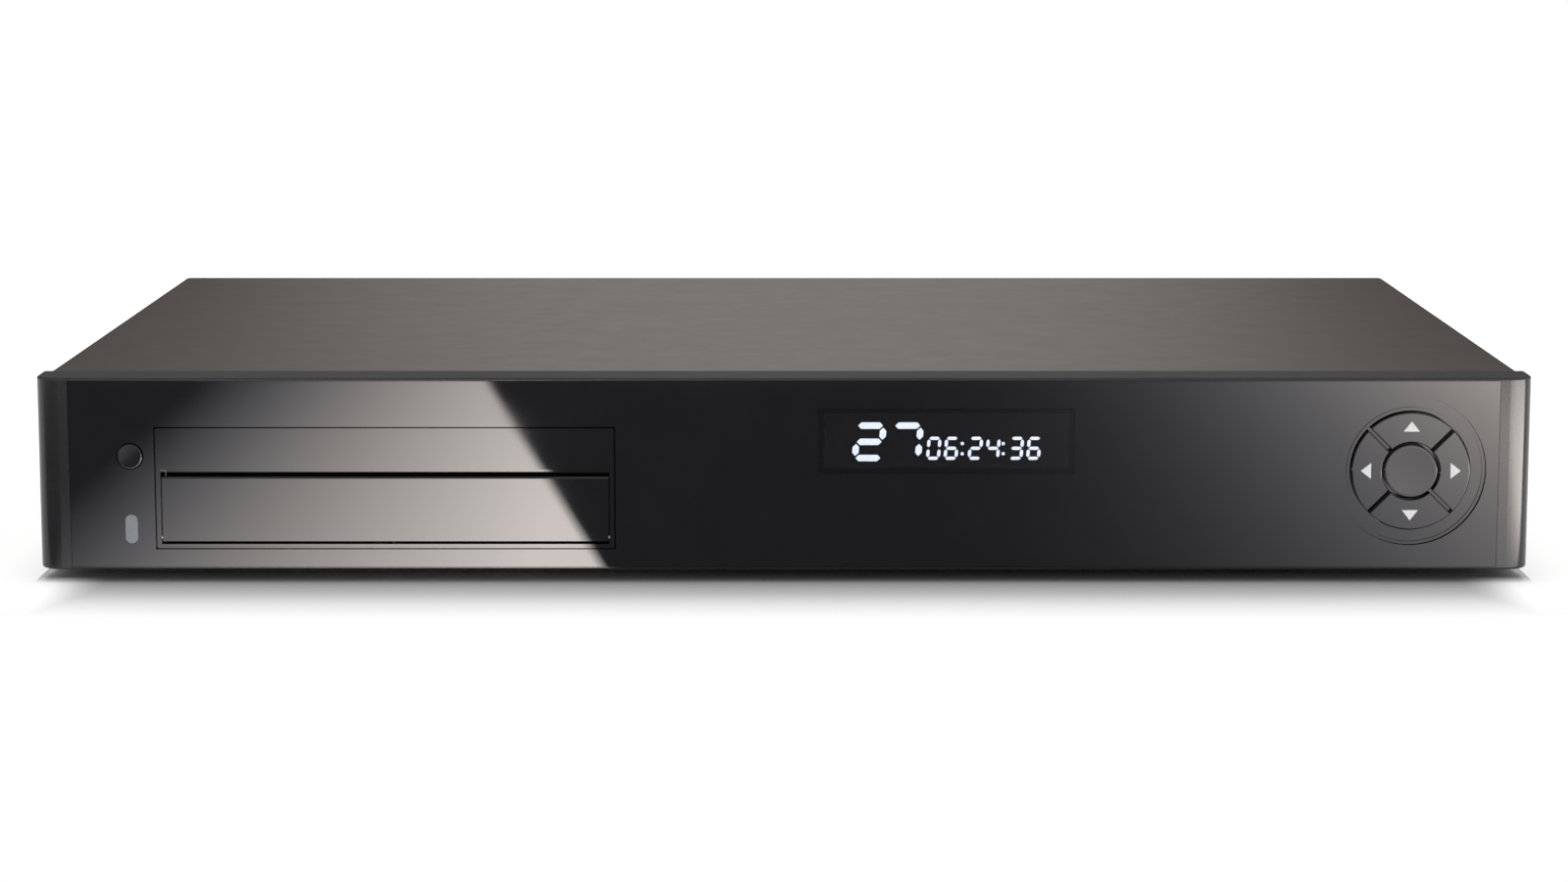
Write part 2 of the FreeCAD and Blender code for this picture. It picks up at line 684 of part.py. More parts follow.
def slab(top, direction, long_way, short_way):
    """One arm of a cross recess in a screw's head."""
    half_long = long_way * (SCREW_HEAD_RADIUS * 0.6)
    half_short = short_way * (SCREW_HEAD_RADIUS * 0.13)
    corners = [top + half_long + half_short, top + half_long - half_short,
               top - half_long - half_short, top - half_long + half_short]
    face = Part.Face(Part.makePolygon(corners + corners[:1]))
    return face.extrude(direction * (SCREW_HEAD_HEIGHT * 0.6))


def corners(x0, x1, y0, y1, inset):
    return [(x, y) for x in (x0 + inset, x1 - inset) for y in (y0 + inset, y1 - inset)]


def rounded_path(points):
    """Straight runs joined by tangent arcs, each as large as its two runs allow."""
    points = [Vector(*p) for p in points]
    edges = []
    at = points[0]
    for before, corner, after in zip(points, points[1:], points[2:]):
        into = corner.sub(before)
        away = after.sub(corner)
        turn = into.getAngle(away)
        back = 0.45 * min(into.Length, away.Length)
        start = corner - into.normalize() * back
        end = corner + away.normalize() * back
        radius = back / math.tan(turn / 2)
        inward = away.sub(into).normalize()
        middle = corner + inward * (radius / math.cos(turn / 2) - radius)
        edges.append(Part.LineSegment(at, start).toShape())
        edges.append(Part.Arc(start, middle, end).toShape())
        at = end
    edges.append(Part.LineSegment(at, points[-1]).toShape())
    return Part.Wire(edges)


def cable(points, radius):
    """A round lead along a route."""
    path = rounded_path(points)
    first = Vector(*points[1]).sub(Vector(*points[0]))
    ring = Part.Wire(Part.makeCircle(radius, Vector(*points[0]), first))
    return path.makePipeShell([ring], True, False)


def ribbon(points, x0, x1, thick):
    """A flat cable: its route lies in a plane across X."""
    path = rounded_path([(x0, y, z) for y, z in points])
    run = Vector(0, points[1][0] - points[0][0], points[1][1] - points[0][1]).normalize()
    up = X_AXIS.cross(run) * (thick / 2)
    start = Vector(x0, *points[0])
    wide = X_AXIS * (x1 - x0)
    outline = [start + up, start + wide + up, start + wide - up, start - up]
    profile = Part.makePolygon(outline + outline[:1])
    return path.makePipeShell([profile], True, False)


def save(node, *shapes):
    solids = [s for shape in shapes for s in shape.Solids]
    bad = [s for s in solids if not s.isValid() or s.Volume <= 0]
    if bad or not solids:
        raise ValueError(f"{node}: {len(bad)} bad solids of {len(solids)}")
    whole = solids[0] if len(solids) == 1 else Part.makeCompound(solids)
    whole.exportStep(os.path.join("parts", node + ".step"))
    return whole


# ------------------------------------------------------------------ case
def foot_places():
    y0 = FRONT + FOOT_FROM_FRONT
    y1 = REAR - FOOT_FROM_REAR
    x = FASCIA_X - FOOT_FROM_SIDE
    return [(sx * x, y) for sx in (-1, 1) for y in (y0, y1)]


def cover_side_screws():
    z = FLOOR + FLANGE / 2
    return [(side, y, z) for side in (-1, 1)
            for y in (FRAME_BACK + SIDE_SCREW_FROM_END, REAR_IN - SIDE_SCREW_FROM_END)]


def cover_rear_screws():
    z = COVER_TOP - LIP_HEIGHT / 2 - SHEET / 2
    end = PLATE_X - REAR_SCREW_FROM_SIDE
    return [(x, z) for x in (-end, 0.0, end)]


def flange_screws():
    """Screws that hold the front frame and rear panel down on the floor."""
    front = [TRAY_X + CAGE_HALF + FLANGE_SCREW_FROM_CAGE, PLATE_X - FLANGE_SCREW_FROM_SIDE]
    rear = [PSU_RIGHT + FLANGE_SCREW_FROM_PSU, FLANGE_SCREW_FROM_MIDDLE]
    places = [(x, FRAME_BACK + FLANGE / 2) for x in front]
    return places + [(x, REAR_IN - FLANGE / 2) for x in rear]


def cage_screws():
    x = CAGE_HALF + SHEET + FLANGE / 2
    ends = (FRAME_BACK + CAGE_SCREW_FROM_END, CAGE_REAR - CAGE_SCREW_FROM_END)
    return [(TRAY_X + side * x, y) for side in (-1, 1) for y in ends]


def main_holes():
    return corners(MAIN_LEFT, MAIN_RIGHT, MAIN_FRONT, MAIN_REAR - JACK_BLOCK_DEPTH, MAIN_HOLE_INSET)


def psu_holes():
    return corners(PSU_LEFT, PSU_RIGHT, PSU_FRONT, PSU_REAR, PSU_HOLE_INSET)


def floor_vents():
    vents = []
    middle = (FLOOR_VENT_COLUMNS - 1) / 2
    for row in range(FLOOR_VENT_ROWS):
        y = FRAME_BACK + FLOOR_VENT_FROM_FRONT + row * (VENT_LENGTH + FLOOR_VENT_GAP)
        for column in range(FLOOR_VENT_COLUMNS):
            x = TRAY_X + (column - middle) * VENT_PITCH
            vents.append(slot_z(x, y, Z0 - CUT, FLOOR + CUT, VENT_SLOT, VENT_LENGTH))
    return vents


def chassis_base():
    body = box(-FLANGE_X, FLANGE_X, FASCIA_BACK, REAR_OUT, Z0, FLOOR + FLANGE)
    inner = FLANGE_X - SHEET
    body = body.cut(box(-inner, inner, FASCIA_BACK - CUT, REAR_OUT + CUT, FLOOR, FLOOR + FLANGE + CUT))
    body = rounded(body, Y_AXIS, SHEET * 0.9, lambda m: abs(m.z - Z0) < 1e-6)
    through = SHEET + 2 * CUT
    tools = [rod(FOOT_POST + FIT, (x, y, Z0 - CUT), Z_AXIS, through) for x, y in foot_places()]
    for side, y, z in cover_side_screws():
        tools.append(rod(BOSS_BORE, (side * FLANGE_X - through, y, z), X_AXIS, 2 * through))
    for x, y in flange_screws() + cage_screws():
        tools.append(rod(BOSS_BORE, (x, y, Z0 - CUT), Z_AXIS, through))
    return drill(body, tools + floor_vents())


def side_vents():
    vents = []
    z = (FLOOR + FLANGE + CEILING) / 2 + VENT_LIFT
    for i in range(VENT_COUNT):
        y = REAR_IN - VENT_FROM_REAR - i * VENT_PITCH
        vents.append(slot_x(-COVER_X - CUT, SHEET + CUT - COVER_X, y, z, VENT_SLOT, VENT_LENGTH))
        vents.append(slot_x(COVER_X - SHEET - CUT, COVER_X + CUT, y, z, VENT_SLOT, VENT_LENGTH))
    return vents


def top_cover():
    outer = box(-COVER_X, COVER_X, FASCIA_BACK + FIT, REAR, Z0 + FIT, COVER_TOP)
    outer = rounded(outer, Y_AXIS, COVER_BEND, lambda m: m.z > FASCIA_TOP / 2)
    inner = box(SHEET - COVER_X, COVER_X - SHEET, FASCIA_BACK - CUT, REAR + CUT, Z0 - CUT, CEILING)
    inner = rounded(inner, Y_AXIS, COVER_BEND - SHEET, lambda m: m.z > FASCIA_TOP / 2)
    lip_x = COVER_X - COVER_BEND
    lip = box(-lip_x, lip_x, REAR - SHEET, REAR, COVER_TOP - LIP_HEIGHT, CEILING)
    body = fuse([outer.cut(inner), lip])
    through = SHEET + 2 * CUT
    tools = side_vents()
    for side, y, z in cover_side_screws():
        tools.append(rod(HOLE_RADIUS, (side * COVER_X - through, y, z), X_AXIS, 2 * through))
    for x, z in cover_rear_screws():
        tools.append(rod(HOLE_RADIUS, (x, REAR - SHEET - CUT, z), Y_AXIS, through))
    return drill(body, tools)


def fan_hole_places():
    half = FAN_HOLE_PITCH / 2
    return [(FAN_X + sx * half, FAN_Z + sz * half) for sx in (-1, 1) for sz in (-1, 1)]


def fan_grille():
    """Ring slots in the rear panel, broken by four spokes."""
    rings = []
    radius = GRILLE_START
    while radius + GRILLE_SLOT < FAN_DUCT:
        ring = tube(radius + GRILLE_SLOT, radius, (FAN_X, REAR_IN - CUT, FAN_Z), Y_AXIS, SHEET + 2 * CUT)
        rings.append(ring)
        radius += GRILLE_PITCH
    half = GRILLE_SPOKE / 2
    spoke = box(FAN_X - half, FAN_X + half, REAR_IN - 2 * CUT, REAR_OUT + 2 * CUT,
                FAN_Z - FAN_DUCT, FAN_Z + FAN_DUCT)
    spokes = [rotated(spoke, (FAN_X, 0, FAN_Z), Y_AXIS, 45 + 90 * i) for i in range(2)]
    return [ring.cut(spokes) for ring in rings]


def rotated(shape, centre, axis, degrees):
    turned = shape.copy()
    turned.rotate(Vector(*centre), axis, degrees)
    return turned


def rear_cutouts():
    """Holes in the rear panel for what stands in it."""
    y0 = REAR_IN - CUT
    y1 = REAR_OUT + CUT
    gap = CUTOUT_GAP
    tools = []
    for x0, x1, z0, z1 in (inlet_hole(), rocker_hole(), network_hole(), usb_hole(), hdmi_hole()):
        tools.append(box(x0 - gap, x1 + gap, y0, y1, z0 - gap, z1 + gap))
    for x, z in jack_places():
        tools.append(rod(JACK_COLLAR + gap, (x, y0, z), Y_AXIS, y1 - y0))
    for x, z in fan_hole_places():
        tools.append(rod(HOLE_RADIUS, (x, y0, z), Y_AXIS, y1 - y0))
    for x, z in cover_rear_screws():
        tools.append(rod(BOSS_BORE, (x, y0, z), Y_AXIS, y1 - y0))
    return tools


def rear_panel():
    plate = box(-PLATE_X, PLATE_X, REAR_IN, REAR_OUT, FLOOR, CEILING - FIT)
    foot = box(-PLATE_X, PLATE_X, REAR_IN - FLANGE, REAR_IN, FLOOR, FLOOR + SHEET)
    room = PSU_HOLE_INSET + STANDOFF_RADIUS + 3 * CUT
    rooms = []
    for x0 in (PSU_LEFT - CUT, PSU_RIGHT - room):
        rooms.append(box(x0, x0 + room + CUT, REAR_IN - FLANGE - CUT, REAR_IN,
                         FLOOR - CUT, FLOOR + SHEET + CUT))
    body = fuse([plate, foot.cut(rooms)])
    tools = fan_grille() + rear_cutouts()
    tools += [rod(HOLE_RADIUS, (x, y, FLOOR - CUT), Z_AXIS, SHEET + 2 * CUT) for x, y in flange_screws()]
    return drill(body, tools)


def front_frame():
    plate = box(-PLATE_X, PLATE_X, FASCIA_BACK, FRAME_BACK, FLOOR, CEILING - FIT)
    foot_left = TRAY_X + CAGE_HALF + SHEET + FLANGE + 2 * CUT
    foot = box(foot_left, PLATE_X, FRAME_BACK, FRAME_BACK + FLANGE, FLOOR, FLOOR + SHEET)
    body = fuse([plate, foot])
    y0 = FASCIA_BACK - CUT
    y1 = FRAME_BACK + CUT
    low = FLOOR + FLANGE
    high = CEILING - FLANGE
    reach = TRAY_HALF + RUNNER + FRAME_TRAY_GAP
    tools = [box(TRAY_X - reach, TRAY_X + reach, y0, y1, TRAY_Z - FRAME_TRAY_GAP, DRIVE_TOP + FRAME_DRIVE_GAP)]
    for middle, width in ((DISPLAY_FROM_MIDDLE, FRAME_WINDOW_WIDTH), (NAV_X, FRAME_KEY_WIDTH)):
        tools.append(box(middle - width / 2, middle + width / 2, y0, y1, low, high))
    tools += [rod(HOLE_RADIUS, (x, y0, z), Y_AXIS, y1 - y0) for x, z in frame_boss_places()]
    tools += [rod(HOLE_RADIUS, (x, y, FLOOR - CUT), Z_AXIS, SHEET + 2 * CUT) for x, y in flange_screws()]
    return drill(body, tools)


def foot_parts():
    feet, pads = [], []
    for x, y in foot_places():
        ring = Part.makeCone(FOOT_RADIUS - FOOT_TAPER, FOOT_RADIUS, FOOT_HEIGHT - PAD_PROUD,
                             Vector(x, y, PAD_PROUD), Z_AXIS)
        post = rod(FOOT_POST, (x, y, Z0), Z_AXIS, SHEET + FIT + SNAP_HEIGHT)
        snap = Part.makeCone(SNAP_RADIUS, SNAP_RADIUS - SNAP_TAPER, SNAP_HEIGHT,
                             Vector(x, y, FLOOR + FIT), Z_AXIS)
        seat = rod(PAD_RADIUS + FIT, (x, y, 0), Z_AXIS, PAD_HEIGHT)
        feet.append(fuse([ring, post, snap]).cut(seat))
        pad = rod(PAD_RADIUS, (x, y, 0), Z_AXIS, PAD_HEIGHT)
        rim = [e for e in pad.Edges if isinstance(e.Curve, Part.Circle) and e.CenterOfMass.z < PAD_HEIGHT / 2]
        pads.append(pad.makeFillet(PAD_RIM, rim))
    return feet, pads


# ------------------------------------------------------------------ fascia
def door_hole(y0, y1, gap):
    return box(DOOR_LEFT - gap, DOOR_RIGHT + gap, y0, y1, DOOR_BOTTOM - gap, DOOR_TOP + gap)


def frame_boss_places():
    """Where the front frame is screwed to the fascia."""
    high = FASCIA_TOP - FASCIA_WALL - BOSS_RADIUS - BOSS_EDGE
    low = Z0 + FASCIA_WALL + BOSS_RADIUS + BOSS_EDGE
    middle = (DOOR_RIGHT + WINDOW_X0) / 2
    right = (WINDOW_X1 + NAV_X - NAV_RING_OUTER) / 2
    places = [(x, z) for x in (middle, right) for z in (low, high)]
    return places + [(DOOR_LEFT + BOSS_FROM_DOOR, high)]


def front_board_boxes():
    """Left, middle and right boards behind the fascia, as x0, x1, z0, z1."""
    left = (BUTTON_X - LEFT_BOARD_LEFT, BUTTON_X + LEFT_BOARD_RIGHT,
            Z0 + FASCIA_WALL + BOSS_EDGE, BUTTON_Z + LEFT_BOARD_TOP)
    middle = (WINDOW_X0 - DISPLAY_BOARD_SIDE, WINDOW_X1 + DISPLAY_BOARD_SIDE,
              WINDOW_Z0 - DISPLAY_BOARD_END, WINDOW_Z1 + DISPLAY_BOARD_END)
    half = NAV_BOARD_SIZE / 2
    right = (NAV_X - half, NAV_X + half, NAV_Z - half, NAV_Z + half)
    return [left, middle, right]


def front_board_holes():
    left, middle, right = front_board_boxes()
    inset = BOARD_HOLE_INSET
    places = [(BUTTON_X, (LIGHT_Z + BUTTON_Z) / 2), (BUTTON_X, left[3] - inset)]
    places += [(middle[0] + inset, DISPLAY_Z), (middle[1] - inset, DISPLAY_Z)]
    return places + corners(*right, inset)


def fascia_shell():
    """The moulding with rounded ends and edges, open at the back, with the panel's seat."""
    outer = box(-FASCIA_X, FASCIA_X, FRONT, FASCIA_BACK, Z0, FASCIA_TOP)
    outer = rounded(outer, Z_AXIS, FASCIA_END_RADIUS, lambda m: m.y < FRONT + FASCIA_DEPTH / 2)
    front_rim = [e for e in outer.Edges if abs(e.BoundBox.ZLength) < 1e-6
                 and e.BoundBox.YMax < FASCIA_BACK - 1e-3]
    outer = outer.makeFillet(FASCIA_EDGE_RADIUS, front_rim)
    hollow = box(FASCIA_WALL - FASCIA_X, FASCIA_X - FASCIA_WALL, WALL_BACK, FASCIA_BACK + CUT,
                 Z0 + FASCIA_WALL, FASCIA_TOP - FASCIA_WALL)
    hollow = rounded(hollow, Z_AXIS, FASCIA_END_RADIUS - FASCIA_WALL, lambda m: m.y < FRONT + FASCIA_DEPTH / 2)
    seat = box(PANEL_END_MARGIN - FASCIA_X, FASCIA_X - PANEL_END_MARGIN, FRONT - CUT, PANEL_BACK,
               Z0 + PANEL_EDGE_MARGIN, FASCIA_TOP - PANEL_EDGE_MARGIN)
    return outer.cut([hollow, seat])


def front_fascia():
    start = WALL_BACK - CUT
    posts = [rod(BOSS_RADIUS, (x, start, z), Y_AXIS, FASCIA_BACK - start) for x, z in frame_boss_places()]
    posts += [rod(BOARD_BOSS_RADIUS, (x, start, z), Y_AXIS, BOARD_FRONT - start)
              for x, z in front_board_holes()]
    body = fuse([fascia_shell()] + posts)
    ledge = WINDOW_LEDGE
    tools = [door_hole(FRONT - CUT, WALL_BACK + CUT, SEAM)]
    tools.append(box(WINDOW_X0 + ledge, WINDOW_X1 - ledge, FRONT, WALL_BACK + CUT,
                     WINDOW_Z0 + ledge, WINDOW_Z1 - ledge))
    wall = WALL_BACK + CUT - FRONT
    tools.append(rod(NAV_RING_INNER + THROAT_WALL + FIT, (NAV_X, FRONT, NAV_Z), Y_AXIS, wall))
    tools.append(rod(BUTTON_RADIUS + KEY_CLEAR, (BUTTON_X, FRONT, BUTTON_Z), Y_AXIS, wall))
    tools.append(light_shape(FRONT, WALL_BACK + CUT, FIT))
    deep = FASCIA_BACK - WALL_BACK + CUT
    tools += [rod(BOSS_BORE, (x, WALL_BACK, z), Y_AXIS, deep) for x, z in frame_boss_places()]
    tools += [rod(BOSS_BORE, (x, WALL_BACK, z), Y_AXIS, FRONT_BOSS + CUT) for x, z in front_board_holes()]
    return drill(body, tools)


def light_shape(y0, y1, grow):
    half = LIGHT_WIDTH / 2 + grow
    tall = LIGHT_HEIGHT / 2 + grow
    blank = box(BUTTON_X - half, BUTTON_X + half, y0, y1, LIGHT_Z - tall, LIGHT_Z + tall)
    return rounded(blank, Y_AXIS, half * 0.96)


def front_panel():
    end = FASCIA_X - PANEL_END_MARGIN - PANEL_GAP
    edge = PANEL_EDGE_MARGIN + PANEL_GAP
    plate = box(-end, end, FRONT, PANEL_BACK, Z0 + edge, FASCIA_TOP - edge)
    y0 = FRONT - CUT
    y1 = PANEL_BACK + CUT
    tools = [door_hole(y0, y1, SEAM)]
    tools.append(box(WINDOW_X0, WINDOW_X1, y0, y1, WINDOW_Z0, WINDOW_Z1))
    tools.append(rod(NAV_RING_OUTER + PANEL_GAP, (NAV_X, y0, NAV_Z), Y_AXIS, y1 - y0))
    tools.append(rod(BUTTON_RADIUS + KEY_CLEAR, (BUTTON_X, y0, BUTTON_Z), Y_AXIS, y1 - y0))
    tools.append(light_shape(y0, y1, FIT))
    return drill(plate, tools)


def display_window():
    gap = PANEL_GAP / 2
    return box(WINDOW_X0 + gap, WINDOW_X1 - gap, FRONT, PANEL_BACK, WINDOW_Z0 + gap, WINDOW_Z1 - gap)


def display_tube():
    ledge = WINDOW_LEDGE + TUBE_LEDGE
    start = BOARD_FRONT - TUBE_THICK
    glass = box(WINDOW_X0 + ledge, WINDOW_X1 - ledge, start, BOARD_FRONT, WINDOW_Z0, WINDOW_Z1)
    tip = rod(TUBE_TIP, (WINDOW_X1 - ledge, start + TUBE_THICK / 2, DISPLAY_Z), X_AXIS, TUBE_TIP_LENGTH)
    return fuse([glass, tip])


def status_light():
    return light_shape(FRONT, BOARD_FRONT - LAMP_THICK, 0)


def front_boards():
    holes = [rod(HOLE_RADIUS, (x, BOARD_FRONT - CUT, z), Y_AXIS, BOARD + 2 * CUT)
             for x, z in front_board_holes()]
    boards = []
    for x0, x1, z0, z1 in front_board_boxes():
        boards.append(box(x0, x1, BOARD_FRONT, BOARD_BACK, z0, z1).cut(holes))
    lamp = box(BUTTON_X - LAMP_WIDTH / 2, BUTTON_X + LAMP_WIDTH / 2, BOARD_FRONT - LAMP_THICK, BOARD_FRONT,
               LIGHT_Z - LAMP_HEIGHT / 2, LIGHT_Z + LAMP_HEIGHT / 2)
    eye_x = WINDOW_X0 - EYE_GAP
    eye = box(eye_x - EYE_SIZE, eye_x, BOARD_FRONT - EYE_SIZE, BOARD_FRONT,
              DISPLAY_Z + EYE_RISE, DISPLAY_Z + EYE_RISE + EYE_HEIGHT)
    half = FLAT_HEADER_WIDTH / 2
    header = box(DISPLAY_FROM_MIDDLE - half, DISPLAY_FROM_MIDDLE + half, BOARD_BACK,
                 BOARD_BACK + FLAT_HEADER_THICK, DISPLAY_Z - FLAT_HEADER_HEIGHT, DISPLAY_Z)
    return boards + [lamp, eye, header]


def nav_key_places():
    """Centres of the right, upper, left and lower keys."""
    reach = (KEY_OUTER + KEY_INNER) / 2
    turns = (0, math.pi / 2, math.pi, 3 * math.pi / 2)
    return [(NAV_X + reach * math.cos(a), NAV_Z + reach * math.sin(a)) for a in turns]


def tact_switches():
    switches = []
    half = SWITCH_SIZE / 2
    for x, z in nav_key_places() + [(NAV_X, NAV_Z), (BUTTON_X, BUTTON_Z)]:
        body = box(x - half, x + half, SWITCH_FRONT, BOARD_FRONT, z - half, z + half)
        plunger = rod(STEM_RADIUS, (x, PLUNGER_FRONT, z), Y_AXIS, SWITCH_PLUNGER + CUT)
        switches.append(fuse([body, plunger]))
    return switches


def nav_bezel():
    face = FRONT + NAV_RING_SINK
    throat_outer = NAV_RING_INNER + THROAT_WALL
    ring = tube(NAV_RING_OUTER, NAV_RING_INNER, (NAV_X, face, NAV_Z), Y_AXIS, PANEL_BACK - face)
    throat = tube(throat_outer, NAV_RING_INNER, (NAV_X, face, NAV_Z), Y_AXIS, CARRIER_BACK - face)
    plate = rod(throat_outer, (NAV_X, CARRIER_FRONT, NAV_Z), Y_AXIS, CARRIER)
    body = fuse([ring, throat, plate])
    groove = tube(NAV_RING_OUTER - RING_RIM, NAV_RING_INNER + RING_RIM, (NAV_X, face - CUT, NAV_Z),
                  Y_AXIS, RING_GROOVE + CUT)
    tools = [groove]
    for x, z in nav_key_places() + [(NAV_X, NAV_Z)]:
        tools.append(rod(STEM_RADIUS + STEM_CLEAR, (x, CARRIER_FRONT - CUT, z), Y_AXIS, CARRIER + 2 * CUT))
    return drill(body, tools)


def arrow(x, z, degrees):
    """A three-sided mark sunk into a key's face."""
    tip = ARROW_SIZE / 2
    flat = [(-tip, -tip * 0.55), (tip, -tip * 0.55), (0, tip * 0.75)]
    mark = prism([(px, KEY_FRONT - CUT, pz) for px, pz in flat], Y_AXIS * (CUT + ARROW_DEPTH))
    mark.rotate(Vector(0, 0, 0), Y_AXIS, degrees)
    mark.translate(Vector(x, 0, z))
    return mark


def direction_keys():
    """Four keys cut from one ring by two diagonal slots, as right, up, left, down."""
    ring = tube(KEY_OUTER, KEY_INNER, (NAV_X, KEY_FRONT, NAV_Z), Y_AXIS, KEY_THICK)
    half = KEY_SLOT / 2
    slot = box(NAV_X - KEY_OUTER - CUT, NAV_X + KEY_OUTER + CUT, KEY_FRONT - CUT, KEY_BACK + CUT,
               NAV_Z - half, NAV_Z + half)
    quarters = ring.cut([rotated(slot, (NAV_X, 0, NAV_Z), Y_AXIS, turn) for turn in (45, -45)]).Solids
    keys = []
    for place, turn in zip(nav_key_places(), (90, 0, -90, 180)):
        x, z = place
        quarter = min(quarters, key=lambda q: (q.CenterOfMass - Vector(x, q.CenterOfMass.y, z)).Length)
        face_rim = [e for e in quarter.Edges if e.BoundBox.YMax < KEY_FRONT + 1e-6]
        quarter = quarter.makeFillet(KEY_EDGE, face_rim)
        start = KEY_BACK - STEM_ROOT
        stem = rod(STEM_RADIUS, (x, start, z), Y_AXIS, STEM_END - start)
        keys.append(fuse([quarter, stem]).cut(arrow(x, z, turn)))
    return keys


def round_key(x, z, radius):
    """A round key with a stem, its face slightly dished."""
    cap = rod(radius, (x, KEY_FRONT, z), Y_AXIS, KEY_THICK)
    rim = [e for e in cap.Edges if isinstance(e.Curve, Part.Circle) and e.CenterOfMass.y < KEY_FRONT + 1e-6]
    cap = cap.makeFillet(KEY_EDGE, rim)
    dish_radius = radius * DISH_FLATNESS
    ahead = radius * math.sqrt(DISH_FLATNESS ** 2 - DISH_REACH ** 2)
    dish = Part.makeSphere(dish_radius, Vector(x, KEY_FRONT - ahead, z))
    start = KEY_BACK - STEM_ROOT
    stem = rod(STEM_RADIUS, (x, start, z), Y_AXIS, STEM_END - start)
    return fuse([cap, stem]).cut(dish)


# ------------------------------------------------------------------ drive tray
def flap_bore(radius):
    start = DOOR_LEFT - CUT
    return rod(radius, (start, FLAP_AXIS_Y, FLAP_AXIS_Z), X_AXIS, DOOR_RIGHT + CUT - start)


def tray_bezel():
    body = box(DOOR_LEFT, DOOR_RIGHT, FRONT, BEZEL_BACK, DOOR_BOTTOM, DOOR_TOP)
    body = rounded(body, Y_AXIS, BEZEL_CORNER)
    pocket = box(DOOR_LEFT + BEZEL_CHEEK, DOOR_RIGHT - BEZEL_CHEEK, FRONT - CUT, FRONT + FLAP_POCKET,
                 DOOR_BOTTOM + BEZEL_LIP, FLAP_TOP + FLAP_SLOT)
    return drill(body, [pocket, flap_bore(FLAP_PIN_RADIUS + BORE_FIT)])


def is_flap_corner(point):
    """The flap's two upper edges, and the lower edge of its face."""
    low_front = point.z < FLAP_BOTTOM + FLAP_CHAMFER and point.y < FRONT + FLAP_CHAMFER
    return low_front or point.z > FLAP_TOP - FLAP_CHAMFER


def tray_flap():
    """A flat plate whose lower edge widens to a hinge barrel behind its face."""
    x0 = TRAY_X - FLAP_X
    x1 = TRAY_X + FLAP_X
    upper = box(x0, x1, FRONT, FRONT + FLAP_THICK, FLAP_AXIS_Z, FLAP_TOP)
    lower = box(x0, x1, FRONT, FLAP_AXIS_Y, FLAP_BOTTOM, FLAP_AXIS_Z)
    barrel = rod(FLAP_BARREL, (x0, FLAP_AXIS_Y, FLAP_AXIS_Z), X_AXIS, x1 - x0)
    body = fuse([upper, lower, barrel])
    corners = [e for e in edges_along(body, X_AXIS) if is_flap_corner(e.CenterOfMass)]
    body = body.makeChamfer(FLAP_CHAMFER, corners)
    half = SPRING_NOTCH / 2
    notch = box(TRAY_X - half, TRAY_X + half, FRONT + NOTCH_WALL, FRONT + FLAP_THICK + FLAP_BARREL,
                FLAP_BOTTOM - CUT, FLAP_AXIS_Z + FLAP_BARREL + NOTCH_RISE)
    return drill(body, [notch, flap_bore(FLAP_PIN_RADIUS + BORE_FIT)])


def flap_pin():
    start = DOOR_LEFT + FLAP_PIN_SHORT
    return rod(FLAP_PIN_RADIUS, (start, FLAP_AXIS_Y, FLAP_AXIS_Z), X_AXIS, DOOR_RIGHT - FLAP_PIN_SHORT - start)


def flap_spring():
    """A torsion spring round the pin: one leg bears on the flap, the other on the bezel."""
    radius = FLAP_PIN_RADIUS + SPRING_FIT + SPRING_WIRE
    pitch = SPRING_WIRE * 2 + SPRING_TURN_GAP
    height = pitch * SPRING_TURNS
    helix = Part.makeHelix(pitch, height, radius)
    ring = Part.Wire(Part.makeCircle(SPRING_WIRE, Vector(radius, 0, 0), Vector(0, 1, 0)))
    coil = Part.Wire(helix).makePipeShell([ring], True, True)
    coil.rotate(Vector(0, 0, 0), Y_AXIS, 90)
    x0 = TRAY_X - height / 2
    x1 = TRAY_X + height / 2
    coil.translate(Vector(x0, FLAP_AXIS_Y, FLAP_AXIS_Z))
    low = FLAP_AXIS_Z - radius
    flap_leg = rod(SPRING_WIRE, (x0, FRONT + NOTCH_WALL, low), Y_AXIS, FLAP_BARREL - NOTCH_WALL)
    bezel_leg = rod(SPRING_WIRE, (x1, FLAP_AXIS_Y, low), Y_AXIS, FLAP_POCKET - FLAP_BARREL)
    return [coil, flap_leg, bezel_leg]


def drive_hole_places():
    y = DRIVE_REAR - DRIVE_HOLE_FROM_REAR
    half = DRIVE_HOLE_WIDTH / 2
    return [(TRAY_X + side * half, y + step) for side in (-1, 1) for step in (0, DRIVE_HOLE_PITCH)]


def detent_notch(side):
    """The V that a detent leaf drops into, in the side of a tray arm."""
    y = TRAY_REAR - DETENT_FROM_END
    face = TRAY_X + side * TRAY_HALF
    reach = DETENT_BUMP - RAIL_GAP + DETENT_CLEAR
    wide = DETENT_SPREAD + reach * 0.5
    tip = DETENT_LEAF
    points = [(face + side * CUT, y - wide), (face + side * CUT, y + wide),
              (face - side * reach, y + tip), (face - side * reach, y - tip)]
    return prism([(px, py, TRAY_Z - CUT) for px, py in points], Z_AXIS * (RUNNER_RISE + CUT - DETENT_CLEAR))


